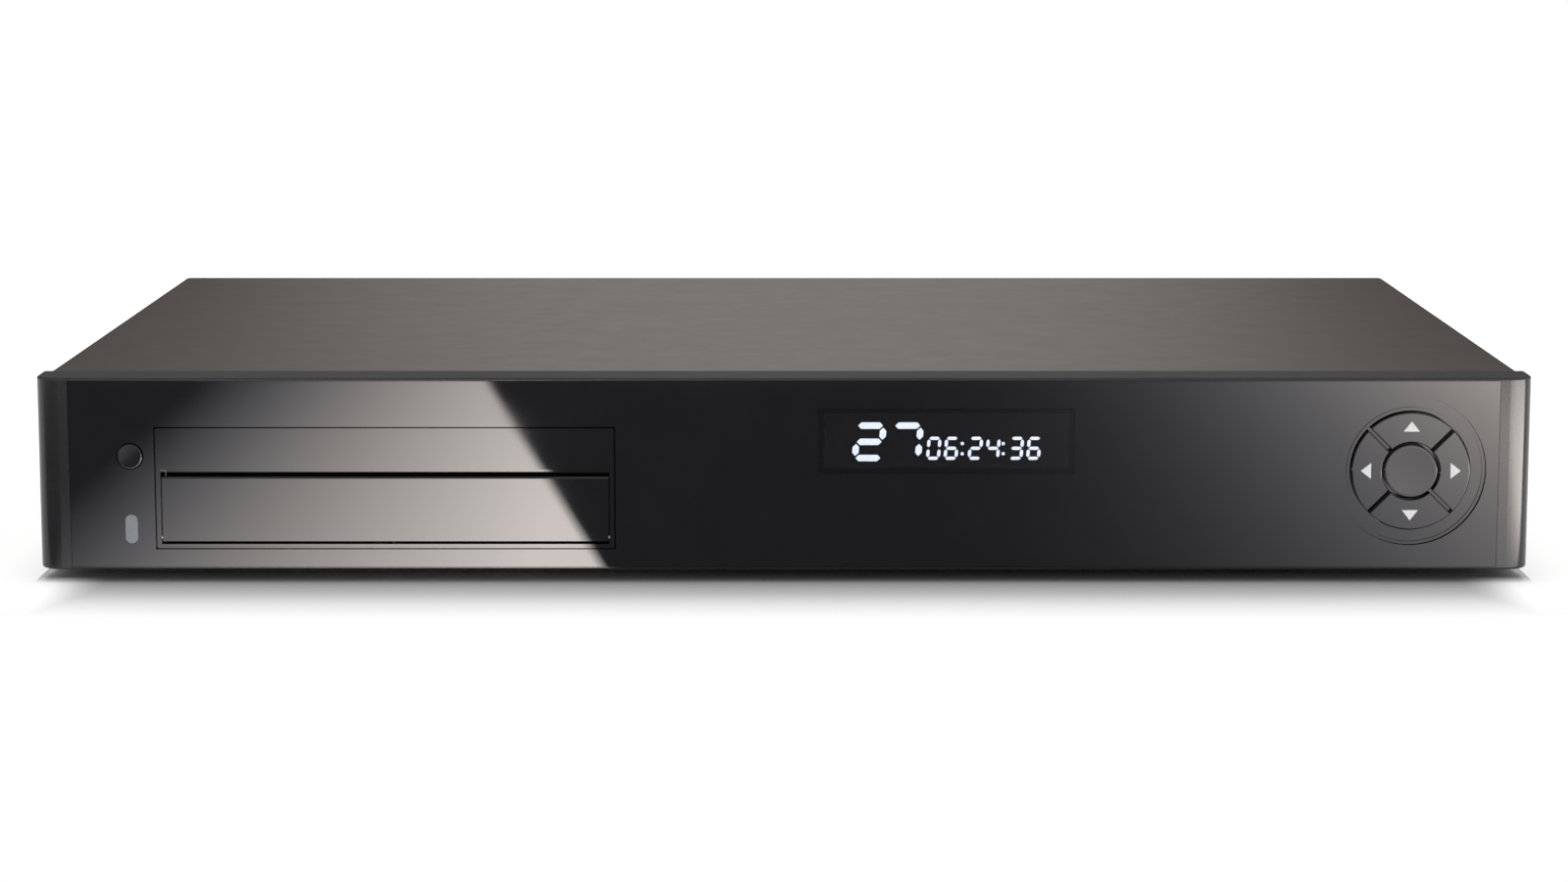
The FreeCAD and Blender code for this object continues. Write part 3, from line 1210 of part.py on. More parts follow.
def tray_floor_cuts():
    cuts = []
    half_x = TRAY_CUT_WIDTH / 2
    half_y = TRAY_CUT_LENGTH / 2
    z0 = TRAY_Z - CUT
    z1 = DRIVE_Z + CUT
    for row in range(TRAY_CUT_ROWS):
        y = DRIVE_FRONT + TRAY_CUT_FROM_FRONT + row * TRAY_CUT_PITCH_Y
        for column in range(TRAY_CUT_COLUMNS):
            x = TRAY_X + (column - (TRAY_CUT_COLUMNS - 1) / 2) * TRAY_CUT_PITCH_X
            blank = box(x - half_x, x + half_x, y - half_y, y + half_y, z0, z1)
            cuts.append(rounded(blank, Z_AXIS, TRAY_CUT_CORNER))
    half = TRAY_REAR_CUT_WIDTH / 2
    cuts.append(box(TRAY_X - half, TRAY_X + half, DRIVE_REAR - TRAY_REAR_CUT_LENGTH, DRIVE_REAR + CUT, z0, z1))
    return cuts


def tray_body():
    x0, x1 = TRAY_X - TRAY_HALF, TRAY_X + TRAY_HALF
    top = TRAY_Z + TRAY_WALL_HEIGHT
    runner_start = FRAME_BACK + RUNNER_FROM_FRAME
    runner_top = RUNNER_Z + RUNNER
    pieces = [box(x0, x1, BEZEL_BACK, DRIVE_REAR, TRAY_Z, DRIVE_Z)]
    pieces.append(box(x0, x0 + TRAY_WALL, BEZEL_BACK, TRAY_REAR, TRAY_Z, top))
    pieces.append(box(x1 - TRAY_WALL, x1, BEZEL_BACK, TRAY_REAR, TRAY_Z, top))
    pieces.append(box(x0, x1, BEZEL_BACK, BEZEL_BACK + TRAY_FRONT_WALL, TRAY_Z, TRAY_Z + TRAY_FRONT_HEIGHT))
    pieces.append(box(x0 - RUNNER, x0, runner_start, TRAY_REAR, RUNNER_Z, runner_top))
    pieces.append(box(x1, x1 + RUNNER, runner_start, TRAY_REAR, RUNNER_Z, runner_top))
    tools = tray_floor_cuts()
    for x, y in drive_hole_places():
        tools.append(rod(HOLE_RADIUS, (x, y, TRAY_Z - CUT), Z_AXIS, TRAY_FLOOR + 2 * CUT))
        sink = CUT + SCREW_HEAD_HEIGHT + FIT
        tools.append(rod(SCREW_HEAD_RADIUS + 2 * FIT, (x, y, TRAY_Z - CUT), Z_AXIS, sink))
    tools += [detent_notch(side) for side in (-1, 1)]
    return drill(fuse(pieces), tools)


def drive_screws():
    z = TRAY_Z + SCREW_HEAD_HEIGHT + FIT
    return [screw((x, y, z), Z_AXIS, DRIVE_Z - z + DRIVE_SCREW_BITE) for x, y in drive_hole_places()]


def guide_rails():
    rails = []
    end = TRAY_REAR - DETENT_FROM_END - DETENT_REACH - CUT
    for side in (-1, 1):
        inner = TRAY_X + side * (TRAY_HALF + RAIL_GAP)
        outer = TRAY_X + side * CAGE_HALF
        groove_end = inner + side * RUNNER
        body = box(min(inner, outer), max(inner, outer), FRAME_BACK, end, RAIL_Z, RAIL_Z + RAIL_HEIGHT)
        groove = box(min(inner - side * CUT, groove_end), max(inner - side * CUT, groove_end),
                     FRAME_BACK - CUT, end + CUT, RUNNER_Z - RAIL_GAP, RUNNER_Z + RUNNER + RAIL_GAP)
        rails.append(body.cut(groove))
    return rails


def detent_outline(side):
    """A leaf seen from above: a foot on the cage wall, and a blunt V that reaches inwards."""
    y = TRAY_REAR - DETENT_FROM_END
    wall = TRAY_X + side * CAGE_HALF
    face = TRAY_X + side * (TRAY_HALF + RAIL_GAP)
    tip = face - side * DETENT_BUMP
    leaf = side * DETENT_LEAF
    spread = DETENT_SPREAD
    thin = DETENT_LEAF * 0.75
    bend = DETENT_REACH - 3.0
    tail = spread + 1.4
    inner = [(wall - leaf, y - DETENT_REACH), (wall - leaf, y - bend), (face, y - spread), (tip, y),
             (face, y + spread), (face, y + tail)]
    outer = [(face + leaf, y + tail), (face + leaf, y + spread - thin / 3), (tip + leaf * 1.7, y),
             (face + leaf, y - spread + thin), (wall, y - bend + DETENT_LEAF), (wall, y - DETENT_REACH)]
    return inner + outer


def tray_detents():
    """Steel leaves on the cage walls that hold the closed tray by a V in each arm."""
    low = TRAY_Z + CUT
    leaves = []
    for side in (-1, 1):
        leaves.append(prism([(x, y, low) for x, y in detent_outline(side)], Z_AXIS * (RUNNER_RISE - 2 * CUT)))
    return leaves


def cage_slots():
    slots = []
    for column in range(CAGE_SLOT_COLUMNS):
        x = TRAY_X + (column - (CAGE_SLOT_COLUMNS - 1) / 2) * CAGE_SLOT_PITCH_X
        for row in range(CAGE_SLOT_ROWS):
            y = FRAME_BACK + CAGE_SLOT_FROM_FRONT + row * CAGE_SLOT_PITCH_Y
            slots.append(slot_z(x, y, CAGE_TOP - CUT, CAGE_TOP + SHEET + CUT,
                                CAGE_SLOT_WIDTH, CAGE_SLOT_LENGTH))
    return slots


def bay_cage():
    x0, x1 = TRAY_X - CAGE_HALF - SHEET, TRAY_X + CAGE_HALF + SHEET
    back_y = BACKPLANE_FRONT + BOARD
    shell = box(x0, x1, FRAME_BACK, CAGE_REAR, FLOOR, CAGE_TOP + SHEET)
    inside = box(x0 + SHEET, x1 - SHEET, FRAME_BACK - CUT, CAGE_REAR + CUT, FLOOR - CUT, CAGE_TOP)
    pieces = [shell.cut(inside)]
    pieces.append(box(x0 - FLANGE, x0, FRAME_BACK, CAGE_REAR, FLOOR, FLOOR + SHEET))
    pieces.append(box(x1, x1 + FLANGE, FRAME_BACK, CAGE_REAR, FLOOR, FLOOR + SHEET))
    pieces.append(box(x0, x1, back_y, back_y + SHEET, TRAY_Z + TRAY_WALL_HEIGHT + CUT, CAGE_TOP))
    half = HEADER_LENGTH / 2 + 2 * CUT
    tools = cage_slots()
    tools.append(box(TRAY_X - half, TRAY_X + half, back_y - CUT, back_y + SHEET + CUT, TRAY_Z, HEADER_Z + CUT))
    tools += [rod(HOLE_RADIUS, (x, y, FLOOR - CUT), Z_AXIS, SHEET + 2 * CUT) for x, y in cage_screws()]
    tools += [rod(BOSS_BORE, (x, back_y - CUT, z), Y_AXIS, SHEET + 2 * CUT) for x, z in backplane_holes()]
    tools += [rod(SNAP_RADIUS + SNAP_GAP, (x, y, FLOOR - CUT), Z_AXIS, SHEET + 2 * CUT)
              for x, y in foot_places()]
    return drill(fuse(pieces), tools)


def backplane_holes():
    half = BACKPLANE_WIDTH / 2 - BACKPLANE_HOLE_INSET
    z = BACKPLANE_TOP - BACKPLANE_HOLE_INSET
    return [(TRAY_X - half, z), (TRAY_X + half, z)]


def backplane_board():
    half = BACKPLANE_WIDTH / 2
    back = BACKPLANE_FRONT + BOARD
    board = box(TRAY_X - half, TRAY_X + half, BACKPLANE_FRONT, back, DRIVE_Z, BACKPLANE_TOP)
    holes = [rod(HOLE_RADIUS, (x, BACKPLANE_FRONT - CUT, z), Y_AXIS, BOARD + 2 * CUT)
             for x, z in backplane_holes()]
    lead_header = box(TRAY_X - HEADER_LENGTH / 2, TRAY_X + HEADER_LENGTH / 2, back, back + HEADER_TALL,
                      HEADER_Z - HEADER_TALL, HEADER_Z)
    return [drill(board, holes), lead_header]


def backplane_socket():
    half = BLADE_WIDTH / 2 + SOCKET_WALL
    start = DRIVE_REAR - PLUG_DEPTH + PLUG_GAP + PLUG_BASE + SOCKET_GAP
    block = box(TRAY_X - half, TRAY_X + half, start, BACKPLANE_FRONT,
                PLUG_Z + SOCKET_GAP, PLUG_Z + PLUG_HEIGHT - SOCKET_GAP)
    slot = blade(SOCKET_GAP, DRIVE_REAR - PLUG_DEPTH, DRIVE_REAR + SOCKET_GAP)
    return block.cut(slot)


def blade(grow, y0, y1):
    middle = PLUG_Z + PLUG_HEIGHT / 2
    half = BLADE_WIDTH / 2 + grow
    thick = BLADE_THICK / 2 + grow
    return box(TRAY_X - half, TRAY_X + half, y0, y1, middle - thick, middle + thick)


# ------------------------------------------------------------------ the 3.5-inch drive
def drive_outline(z0, z1, inset=0.0):
    half = DRIVE_WIDTH / 2 - inset
    blank = box(TRAY_X - half, TRAY_X + half, DRIVE_FRONT + inset, DRIVE_REAR - inset, z0, z1)
    return rounded(blank, Z_AXIS, DRIVE_CORNER)


def drive_rooms():
    """Hollows of the casting: for the platters, the head arm, the board and the plug."""
    well = rod(PLATTER_RADIUS + PLATTER_GAP, (PLATTER_X, PLATTER_Y, CAVITY_Z), Z_AXIS, DRIVE_HEIGHT)
    sweep = ARM_TAIL + CUT
    arm_room = box(TRAY_X - ARM_FROM_MIDDLE, ARM_X + sweep, PLATTER_Y + PLATTER_RADIUS * 0.42, ARM_Y + sweep,
                   CAVITY_Z, DRIVE_TOP + CUT)
    half = DRIVE_WIDTH / 2 - DRIVE_BOARD_MARGIN + CUT
    board_room = box(TRAY_X - half, TRAY_X + half, DRIVE_REAR - DRIVE_BOARD_LENGTH - CUT, DRIVE_REAR + CUT,
                     DRIVE_Z - CUT, DRIVE_Z + DRIVE_BOARD)
    half = PLUG_WIDTH / 2 + PLUG_ROOM
    plug_room = box(TRAY_X - half, TRAY_X + half, DRIVE_REAR - PLUG_DEPTH, DRIVE_REAR + CUT,
                    DRIVE_Z, PLUG_Z + PLUG_HEIGHT + PLUG_ROOM)
    return [well, rounded(arm_room, Z_AXIS, DRIVE_CORNER), board_room, plug_room]


def drive_casting():
    body = drive_outline(DRIVE_Z, CASTING_TOP).cut(drive_rooms())
    start = CAVITY_Z - CUT
    pieces = [body]
    pieces.append(rod(SPINDLE_RADIUS, (PLATTER_X, PLATTER_Y, start), Z_AXIS, CASTING_TOP - CUT - start))
    pieces.append(rod(ARM_POST_RADIUS, (ARM_X, ARM_Y, start), Z_AXIS, CASTING_TOP - start))
    pieces += [rod(DRIVE_PAD, (x, y, DRIVE_Z), Z_AXIS, DRIVE_BOARD) for x, y in drive_hole_places()]
    tools = [rod(BOSS_BORE, (x, y, DRIVE_Z - CUT), Z_AXIS, CUT + DRIVE_HOLE_DEPTH)
             for x, y in drive_hole_places()]
    for side in (-1, 1):
        for step in DRIVE_SIDE_HOLE_STEPS:
            start_x = TRAY_X + side * DRIVE_WIDTH / 2 - DRIVE_HOLE_DEPTH
            place = (start_x, DRIVE_FRONT + step, DRIVE_Z + DRIVE_SIDE_HOLE_LIFT)
            tools.append(rod(BOSS_BORE, place, X_AXIS, 2 * DRIVE_HOLE_DEPTH))
    return drill(fuse(pieces), tools)


def drive_lid():
    lid = drive_outline(CASTING_TOP, DRIVE_TOP, LID_INSET)
    start = (PLATTER_X, PLATTER_Y, DRIVE_TOP - LID_GROOVE_DEPTH)
    rim = PLATTER_RADIUS - 2 * LID_GROOVE
    tools = [tube(rim, rim - LID_GROOVE, start, Z_AXIS, CUT)]
    tools.append(tube(LID_HUB, LID_HUB - LID_GROOVE, start, Z_AXIS, CUT))
    half = DRIVE_WIDTH / 2 - LID_SCREW_INSET
    rows = (DRIVE_FRONT + LID_SCREW_INSET, ARM_Y - ARM_FROM_PLATTER, DRIVE_REAR - LID_SCREW_INSET)
    for side in (-1, 1):
        for y in rows:
            tools.append(rod(LID_SCREW, (TRAY_X + side * half, y, DRIVE_TOP - LID_GROOVE_DEPTH), Z_AXIS, CUT))
    return drill(lid, tools)


def drive_platters():
    bottom = CAVITY_Z + PLATTER_GAP
    top = PLATTER_Z + PLATTER_COUNT * PLATTER_PITCH
    hub = rod(HUB_RADIUS, (PLATTER_X, PLATTER_Y, bottom), Z_AXIS, top - bottom)
    discs = []
    for i in range(PLATTER_COUNT):
        place = (PLATTER_X, PLATTER_Y, PLATTER_Z + i * PLATTER_PITCH)
        discs.append(rod(PLATTER_RADIUS, place, Z_AXIS, PLATTER_THICK))
    bore = rod(SPINDLE_RADIUS + BORE_FIT, (PLATTER_X, PLATTER_Y, CAVITY_Z - CUT), Z_AXIS, DRIVE_HEIGHT)
    return fuse([hub] + discs).cut(bore)


def drive_head_arm():
    """Fingers on one barrel, lying over and between the platters, with a coil tab behind."""
    low = PLATTER_Z - ARM_GAP - ARM_FINGER
    high = PLATTER_Z + (PLATTER_COUNT - 1) * PLATTER_PITCH + PLATTER_THICK + ARM_GAP + ARM_FINGER
    root = Vector(ARM_X, ARM_Y, 0)
    aim = Vector(PLATTER_X - ARM_X - ARM_FROM_MIDDLE * 0.6, PLATTER_Y - ARM_Y + ARM_FROM_MIDDLE * 0.6, 0)
    ahead = aim.normalize()
    across = Z_AXIS.cross(ahead)
    pieces = [rod(ARM_POST_RADIUS + ARM_WALL, (ARM_X, ARM_Y, low), Z_AXIS, high - low)]
    tip = root + ahead * ARM_REACH
    finger = [root + across * ARM_WIDE, tip + across * ARM_THIN,
              tip - across * ARM_THIN, root - across * ARM_WIDE]
    for i in range(PLATTER_COUNT + 1):
        z = low + i * (high - low - ARM_FINGER) / PLATTER_COUNT
        pieces.append(prism([(p.x, p.y, z) for p in finger], Z_AXIS * ARM_FINGER))
    near = root - ahead * COIL_START
    far = root - ahead * COIL_END
    tab = [near + across * COIL_ROOT, far + across * COIL_WIDE,
           far - across * COIL_WIDE, near - across * COIL_ROOT]
    middle = (low + high - COIL_THICK) / 2
    pieces.append(prism([(p.x, p.y, middle) for p in tab], Z_AXIS * COIL_THICK))
    bore = rod(ARM_POST_RADIUS + BORE_FIT, (ARM_X, ARM_Y, low - CUT), Z_AXIS, high - low + 2 * CUT)
    return fuse(pieces).cut(bore)


def drive_board():
    half = DRIVE_WIDTH / 2 - DRIVE_BOARD_MARGIN
    end = DRIVE_REAR - DRIVE_BOARD_GAP
    top = DRIVE_Z + DRIVE_BOARD
    board = box(TRAY_X - half, TRAY_X + half, DRIVE_REAR - DRIVE_BOARD_LENGTH, end, DRIVE_Z, top)
    holes = [rod(DRIVE_PAD + PAD_CLEAR, (x, y, DRIVE_Z - CUT), Z_AXIS, DRIVE_BOARD + 2 * CUT)
             for x, y in drive_hole_places()]
    half = PLUG_WIDTH / 2
    start = DRIVE_REAR - PLUG_DEPTH + PLUG_GAP
    base = box(TRAY_X - half, TRAY_X + half, start, start + PLUG_BASE, PLUG_Z, PLUG_Z + PLUG_HEIGHT)
    plug = fuse([base, blade(0, start + PLUG_BASE / 2, end)])
    return [board.cut(holes), plug]


# ------------------------------------------------------------------ main board and power supply
def board_with_holes(x0, x1, y0, y1, z, places):
    board = box(x0, x1, y0, y1, z, z + BOARD)
    return drill(board, [rod(HOLE_RADIUS, (x, y, z - CUT), Z_AXIS, BOARD + 2 * CUT) for x, y in places])


def on_board(x, y, width, length, height):
    """A block that stands on a board, by its lower left corner."""
    return box(x, x + width, y, y + length, MAIN_TOP, MAIN_TOP + height)


def main_board():
    board = board_with_holes(MAIN_LEFT, MAIN_RIGHT, MAIN_FRONT, MAIN_REAR, MAIN_Z, main_holes())
    flat = on_board(MAIN_LEFT + FLAT_SOCKET_FROM_LEFT, MAIN_FRONT + FLAT_SOCKET_FROM_FRONT,
                    FLAT_SOCKET_WIDTH, FLAT_SOCKET_DEPTH, FLAT_SOCKET_HEIGHT)
    power = on_board(MAIN_LEFT + POWER_SOCKET_FROM_LEFT, MAIN_FRONT + POWER_SOCKET_FROM_FRONT,
                     POWER_SOCKET_WIDTH, POWER_SOCKET_LENGTH, POWER_SOCKET_HEIGHT)
    return [board, flat, power]


def standoffs():
    spots = main_holes() + psu_holes()
    return [tube(STANDOFF_RADIUS, BOSS_BORE, (x, y, FLOOR), Z_AXIS, STANDOFF_HEIGHT) for x, y in spots]


def centred_chip(x, y, width, length, height):
    return on_board(x - width / 2, y - length / 2, width, length, height)


def board_chips():
    x, y = PROCESSOR_X, PROCESSOR_Y
    chips = [centred_chip(x, y, PROCESSOR_SIZE, PROCESSOR_SIZE, CHIP_HEIGHT)]
    for i in range(MEMORY_COUNT):
        cx = x + MEMORY_FROM_PROCESSOR + (i % 2) * MEMORY_PITCH_X
        cy = y + (i // 2 - 0.5) * MEMORY_PITCH_Y
        chips.append(centred_chip(cx, cy, MEMORY_WIDTH, MEMORY_LENGTH, MEMORY_HEIGHT))
    side_x = x - BRIDGE_FROM_PROCESSOR
    chips.append(centred_chip(side_x, y + SIDE_CHIP_STEP, BRIDGE_SIZE, BRIDGE_SIZE, MEMORY_HEIGHT))
    chips.append(centred_chip(side_x, y - SIDE_CHIP_STEP, FLASH_WIDTH, FLASH_LENGTH, MEMORY_HEIGHT))
    cell = (x + CELL_FROM_PROCESSOR_X, y + CELL_FROM_PROCESSOR_Y, MAIN_TOP)
    return chips + [rod(CELL_RADIUS, cell, Z_AXIS, CELL_HEIGHT)]


def soc_heatsink():
    half = HEATSINK_SIZE / 2
    x0 = PROCESSOR_X - half
    y0 = PROCESSOR_Y - half
    z = MAIN_TOP + CHIP_HEIGHT
    body = box(x0, x0 + HEATSINK_SIZE, y0, y0 + HEATSINK_SIZE, z, z + HEATSINK_HEIGHT)
    fin = HEATSINK_SIZE / (HEATSINK_FINS - 1 + HEATSINK_FIN_SHARE) * HEATSINK_FIN_SHARE
    pitch = (HEATSINK_SIZE - fin) / (HEATSINK_FINS - 1)
    gaps = []
    for i in range(HEATSINK_FINS - 1):
        start = x0 + i * pitch
        gaps.append(box(start + fin, start + pitch, y0 - CUT, y0 + HEATSINK_SIZE + CUT,
                        z + HEATSINK_BASE, z + HEATSINK_HEIGHT + CUT))
    return drill(body, gaps)


def capacitor(x, y, radius, height):
    can = rod(radius, (x, y, MAIN_TOP), Z_AXIS, height)
    top = MAIN_TOP + height / 2
    rim = [e for e in can.Edges if isinstance(e.Curve, Part.Circle) and e.CenterOfMass.z > top]
    return can.makeFillet(CAP_RIM, rim)


def capacitors():
    cans = []
    front_y = MAIN_FRONT + FLAT_SOCKET_FROM_FRONT + FLAT_SOCKET_DEPTH + 2 * SMALL_CAP_HEIGHT
    for i in range(4):
        x = MAIN_LEFT + FLAT_SOCKET_FROM_LEFT + i * SMALL_CAP_PITCH
        cans.append(capacitor(x, front_y, SMALL_CAP_RADIUS, SMALL_CAP_HEIGHT))
    for i in range(3):
        x = PROCESSOR_X + MEMORY_FROM_PROCESSOR + i * SMALL_CAP_PITCH
        cans.append(capacitor(x, PROCESSOR_Y - MEMORY_FROM_PROCESSOR, SMALL_CAP_RADIUS, SMALL_CAP_HEIGHT))
    cans.append(capacitor(PSU_LEFT + BULK_CAP_FROM_LEFT, PSU_FRONT + BULK_CAP_FROM_FRONT,
                          BULK_CAP_RADIUS, BULK_CAP_HEIGHT))
    for i in range(3):
        y = PSU_FRONT + OUT_CAP_FROM_FRONT + i * OUT_CAP_PITCH
        cans.append(capacitor(PSU_RIGHT - OUT_CAP_FROM_RIGHT, y, OUT_CAP_RADIUS, OUT_CAP_HEIGHT))
    return cans


def psu_board():
    board = board_with_holes(PSU_LEFT, PSU_RIGHT, PSU_FRONT, PSU_REAR, MAIN_Z, psu_holes())
    x = PSU_LEFT + MAINS_PARTS_FROM_LEFT
    fuse_y = PSU_FRONT + PSU_PART_GAP
    choke_y = fuse_y + FUSE_DEPTH + PSU_PART_GAP
    fuse_holder = on_board(x, fuse_y, FUSE_LENGTH, FUSE_DEPTH, FUSE_HEIGHT)
    choke = on_board(x, choke_y, CHOKE_LENGTH, CHOKE_DEPTH, CHOKE_HEIGHT)
    outlet = on_board(PSU_RIGHT - OUTLET_FROM_RIGHT, PSU_FRONT + OUTLET_FROM_FRONT,
                      OUTLET_WIDTH, OUTLET_LENGTH, POWER_SOCKET_HEIGHT)
    return [board, fuse_holder, choke, outlet]


def psu_transformer():
    x = PSU_LEFT + TRANSFORMER_FROM_LEFT
    y = PSU_FRONT + TRANSFORMER_FROM_FRONT
    z = MAIN_TOP + CORE_LIFT
    half_x, half_y = CORE_WIDTH / 2, CORE_LENGTH / 2
    foot = box(x - half_x, x + half_x, y - half_y, y + half_y, MAIN_TOP, z)
    core = rounded(box(x - half_x, x + half_x, y - half_y, y + half_y, z, z + CORE_HEIGHT), Y_AXIS, CORE_CORNER)
    half_x, half_y = WINDING_WIDTH / 2, WINDING_LENGTH / 2
    low = z + (CORE_HEIGHT - WINDING_HEIGHT) / 2
    winding = box(x - half_x, x + half_x, y - half_y, y + half_y, low, low + WINDING_HEIGHT)
    return fuse([foot, core, rounded(winding, Y_AXIS, WINDING_CORNER)])


def psu_heatsinks():
    sinks = []
    y = PSU_FRONT + PSU_SINK_FROM_FRONT
    top = MAIN_TOP + PSU_SINK_HEIGHT
    for step in PSU_SINK_STEPS:
        x = PSU_LEFT + step
        pieces = [box(x - PSU_SINK_WEB / 2, x + PSU_SINK_WEB / 2, y, y + PSU_SINK_LENGTH, MAIN_TOP, top)]
        for i in range(PSU_SINK_FINS):
            start = y + i * PSU_SINK_PITCH
            pieces.append(box(x - PSU_SINK_FIN_WIDTH / 2, x + PSU_SINK_FIN_WIDTH / 2,
                              start, start + PSU_SINK_FIN, MAIN_TOP + PSU_SINK_FOOT, top))
        sinks.append(fuse(pieces))
    return sinks


# ------------------------------------------------------------------ rear connectors and fan
def hole_box(x, z, width, height):
    return x - width / 2, x + width / 2, z, z + height


def middle_of(hole):
    x0, x1, z0, z1 = hole
    return (x0 + x1) / 2, (z0 + z1) / 2


def inlet_hole():
    return hole_box(PSU_LEFT + INLET_FROM_LEFT, MAIN_TOP + INLET_LIFT, INLET_WIDTH, INLET_HEIGHT)


def rocker_hole():
    return hole_box(PSU_LEFT + ROCKER_FROM_LEFT, MAIN_TOP + ROCKER_LIFT, ROCKER_WIDTH, ROCKER_HEIGHT)


def network_hole():
    return hole_box(MAIN_RIGHT - NETWORK_FROM_RIGHT, MAIN_TOP + PORT_LIFT, NETWORK_WIDTH, NETWORK_HEIGHT)


def usb_hole():
    return hole_box(MAIN_RIGHT - USB_FROM_RIGHT, MAIN_TOP + PORT_LIFT, USB_WIDTH, USB_HEIGHT)


def hdmi_hole():
    return hole_box(MAIN_RIGHT - HDMI_FROM_RIGHT, MAIN_TOP + PORT_LIFT, HDMI_WIDTH, HDMI_HEIGHT)


def jack_places():
    """Columns of phono jacks from the right, and a single jack beside them."""
    right = MAIN_RIGHT - JACK_FROM_RIGHT
    low = MAIN_TOP + JACK_RISE
    places = []
    for i in range(JACK_COLUMNS):
        places += [(right - i * JACK_PITCH, low + j * JACK_PITCH) for j in range(JACK_ROWS)]
    return places + [(right - JACK_COLUMNS * JACK_PITCH - JACK_SINGLE_GAP, low)]


def power_inlet():
    x0, x1, z0, z1 = inlet_hole()
    cx, cz = middle_of(inlet_hole())
    rim = INLET_RIM
    body = box(x0, x1, REAR_OUT - INLET_DEPTH, REAR_OUT, z0, z1)
    flange = box(x0 - rim, x1 + rim, REAR_OUT, REAR_OUT + INLET_FLANGE, z0 - rim, z1 + rim)
    flange = rounded(flange, Y_AXIS, rim)
    mouth = REAR_OUT + INLET_FLANGE
    start = mouth - INLET_BORE_DEPTH
    half = INLET_PITCH / 2
    tools = [box(cx - half, cx + half, start, mouth + CUT, cz - INLET_WAIST, cz + INLET_WAIST)]
    for side in (-1, 1):
        x = cx + side * half
        tools.append(rod(INLET_BORE, (x, start, cz), Y_AXIS, INLET_BORE_DEPTH + CUT))
        tools.append(rod(INLET_PIN + FIT / 2, (x, REAR_OUT - INLET_DEPTH - CUT, cz), Y_AXIS, INLET_DEPTH))
    return drill(fuse([body, flange]), tools)


def inlet_pins():
    cx, cz = middle_of(inlet_hole())
    start = REAR_OUT - INLET_DEPTH - INLET_PIN_TAIL
    length = REAR_OUT + INLET_FLANGE - INLET_PIN_SINK - start
    return [rod(INLET_PIN, (cx + side * INLET_PITCH / 2, start, cz), Y_AXIS, length) for side in (-1, 1)]


def rocker_frame():
    x0, x1, z0, z1 = rocker_hole()
    cx, cz = middle_of(rocker_hole())
    rim = ROCKER_RIM
    body = box(x0, x1, REAR_OUT - ROCKER_DEPTH, REAR_OUT, z0, z1)
    flange = box(x0 - rim, x1 + rim, REAR_OUT, REAR_OUT + ROCKER_RIM_THICK, z0 - rim, z1 + rim)
    flange = rounded(flange, Y_AXIS, ROCKER_RIM_CORNER)
    room = box(x0 + ROCKER_WALL, x1 - ROCKER_WALL, REAR_OUT - ROCKER_DEPTH + ROCKER_FLOOR,
               REAR_OUT + ROCKER_RIM_THICK + CUT, z0 + ROCKER_WALL, z1 - ROCKER_WALL)
    pivot = rod(ROCKER_PIN_RADIUS + BORE_FIT, (x0 - CUT, ROCKER_AXIS_Y, cz), X_AXIS, ROCKER_WIDTH + 2 * CUT)
    return drill(fuse([body, flange]), [room, pivot])


def power_rocker():
    """A see-saw cap, pressed in at its lower end, on a pin that is moulded with it."""
    cx, cz = middle_of(rocker_hole())
    reach = ROCKER_HEIGHT / 2 - ROCKER_WALL - ROCKER_CLEAR
    half = ROCKER_WIDTH / 2 - ROCKER_WALL - ROCKER_CLEAR
    end = math.sqrt(reach ** 2 - ROCKER_RAISED ** 2)
    shoulder = math.sqrt(reach ** 2 - ROCKER_SHOULDER ** 2) - ROCKER_CLEAR / 2
    lower = [(-ROCKER_SUNK, -reach / 2), (-ROCKER_SHOULDER, -shoulder), (ROCKER_RAISED, -end)]
    upper = [(y, -z) for y, z in reversed(lower)]
    profile = lower + [(ROCKER_WAIST, 0)] + upper
    body = prism([(cx - half, ROCKER_AXIS_Y + y, cz + z) for y, z in profile], X_AXIS * (2 * half))
    pin_half = ROCKER_WIDTH / 2 - 2 * FIT
    pin = rod(ROCKER_PIN_RADIUS, (cx - pin_half, ROCKER_AXIS_Y, cz), X_AXIS, 2 * pin_half)
    return rotated(fuse([body, pin]), (0, ROCKER_AXIS_Y, cz), X_AXIS, -ROCKER_TILT)


def fan_frame():
    half = FAN_SIZE / 2
    body = box(FAN_X - half, FAN_X + half, FAN_FRONT, REAR_IN, FAN_Z - half, FAN_Z + half)
    body = rounded(body, Y_AXIS, FAN_CORNER)
    body = body.cut(rod(FAN_DUCT, (FAN_X, FAN_FRONT - CUT, FAN_Z), Y_AXIS, FAN_THICK + 2 * CUT))
    pieces = [body]
    pieces.append(rod(FAN_HUB, (FAN_X, FAN_FRONT, FAN_Z), Y_AXIS, FAN_STRUT_THICK))
    pieces.append(rod(FAN_SHAFT_RADIUS, (FAN_X, FAN_FRONT, FAN_Z), Y_AXIS, FAN_THICK - FAN_SHAFT_SHORT))
    wide = FAN_STRUT_WIDTH / 2
    reach = FAN_DUCT + wide / 2
    strut = box(FAN_X - reach, FAN_X + reach, FAN_FRONT, FAN_FRONT + FAN_STRUT_THICK, FAN_Z - wide, FAN_Z + wide)
    pieces += [rotated(strut, (FAN_X, 0, FAN_Z), Y_AXIS, turn) for turn in (0, 90)]
    holes = [rod(HOLE_RADIUS, (x, FAN_FRONT - CUT, z), Y_AXIS, FAN_THICK + 2 * CUT)
             for x, z in fan_hole_places()]
    return fuse(pieces).cut(holes)


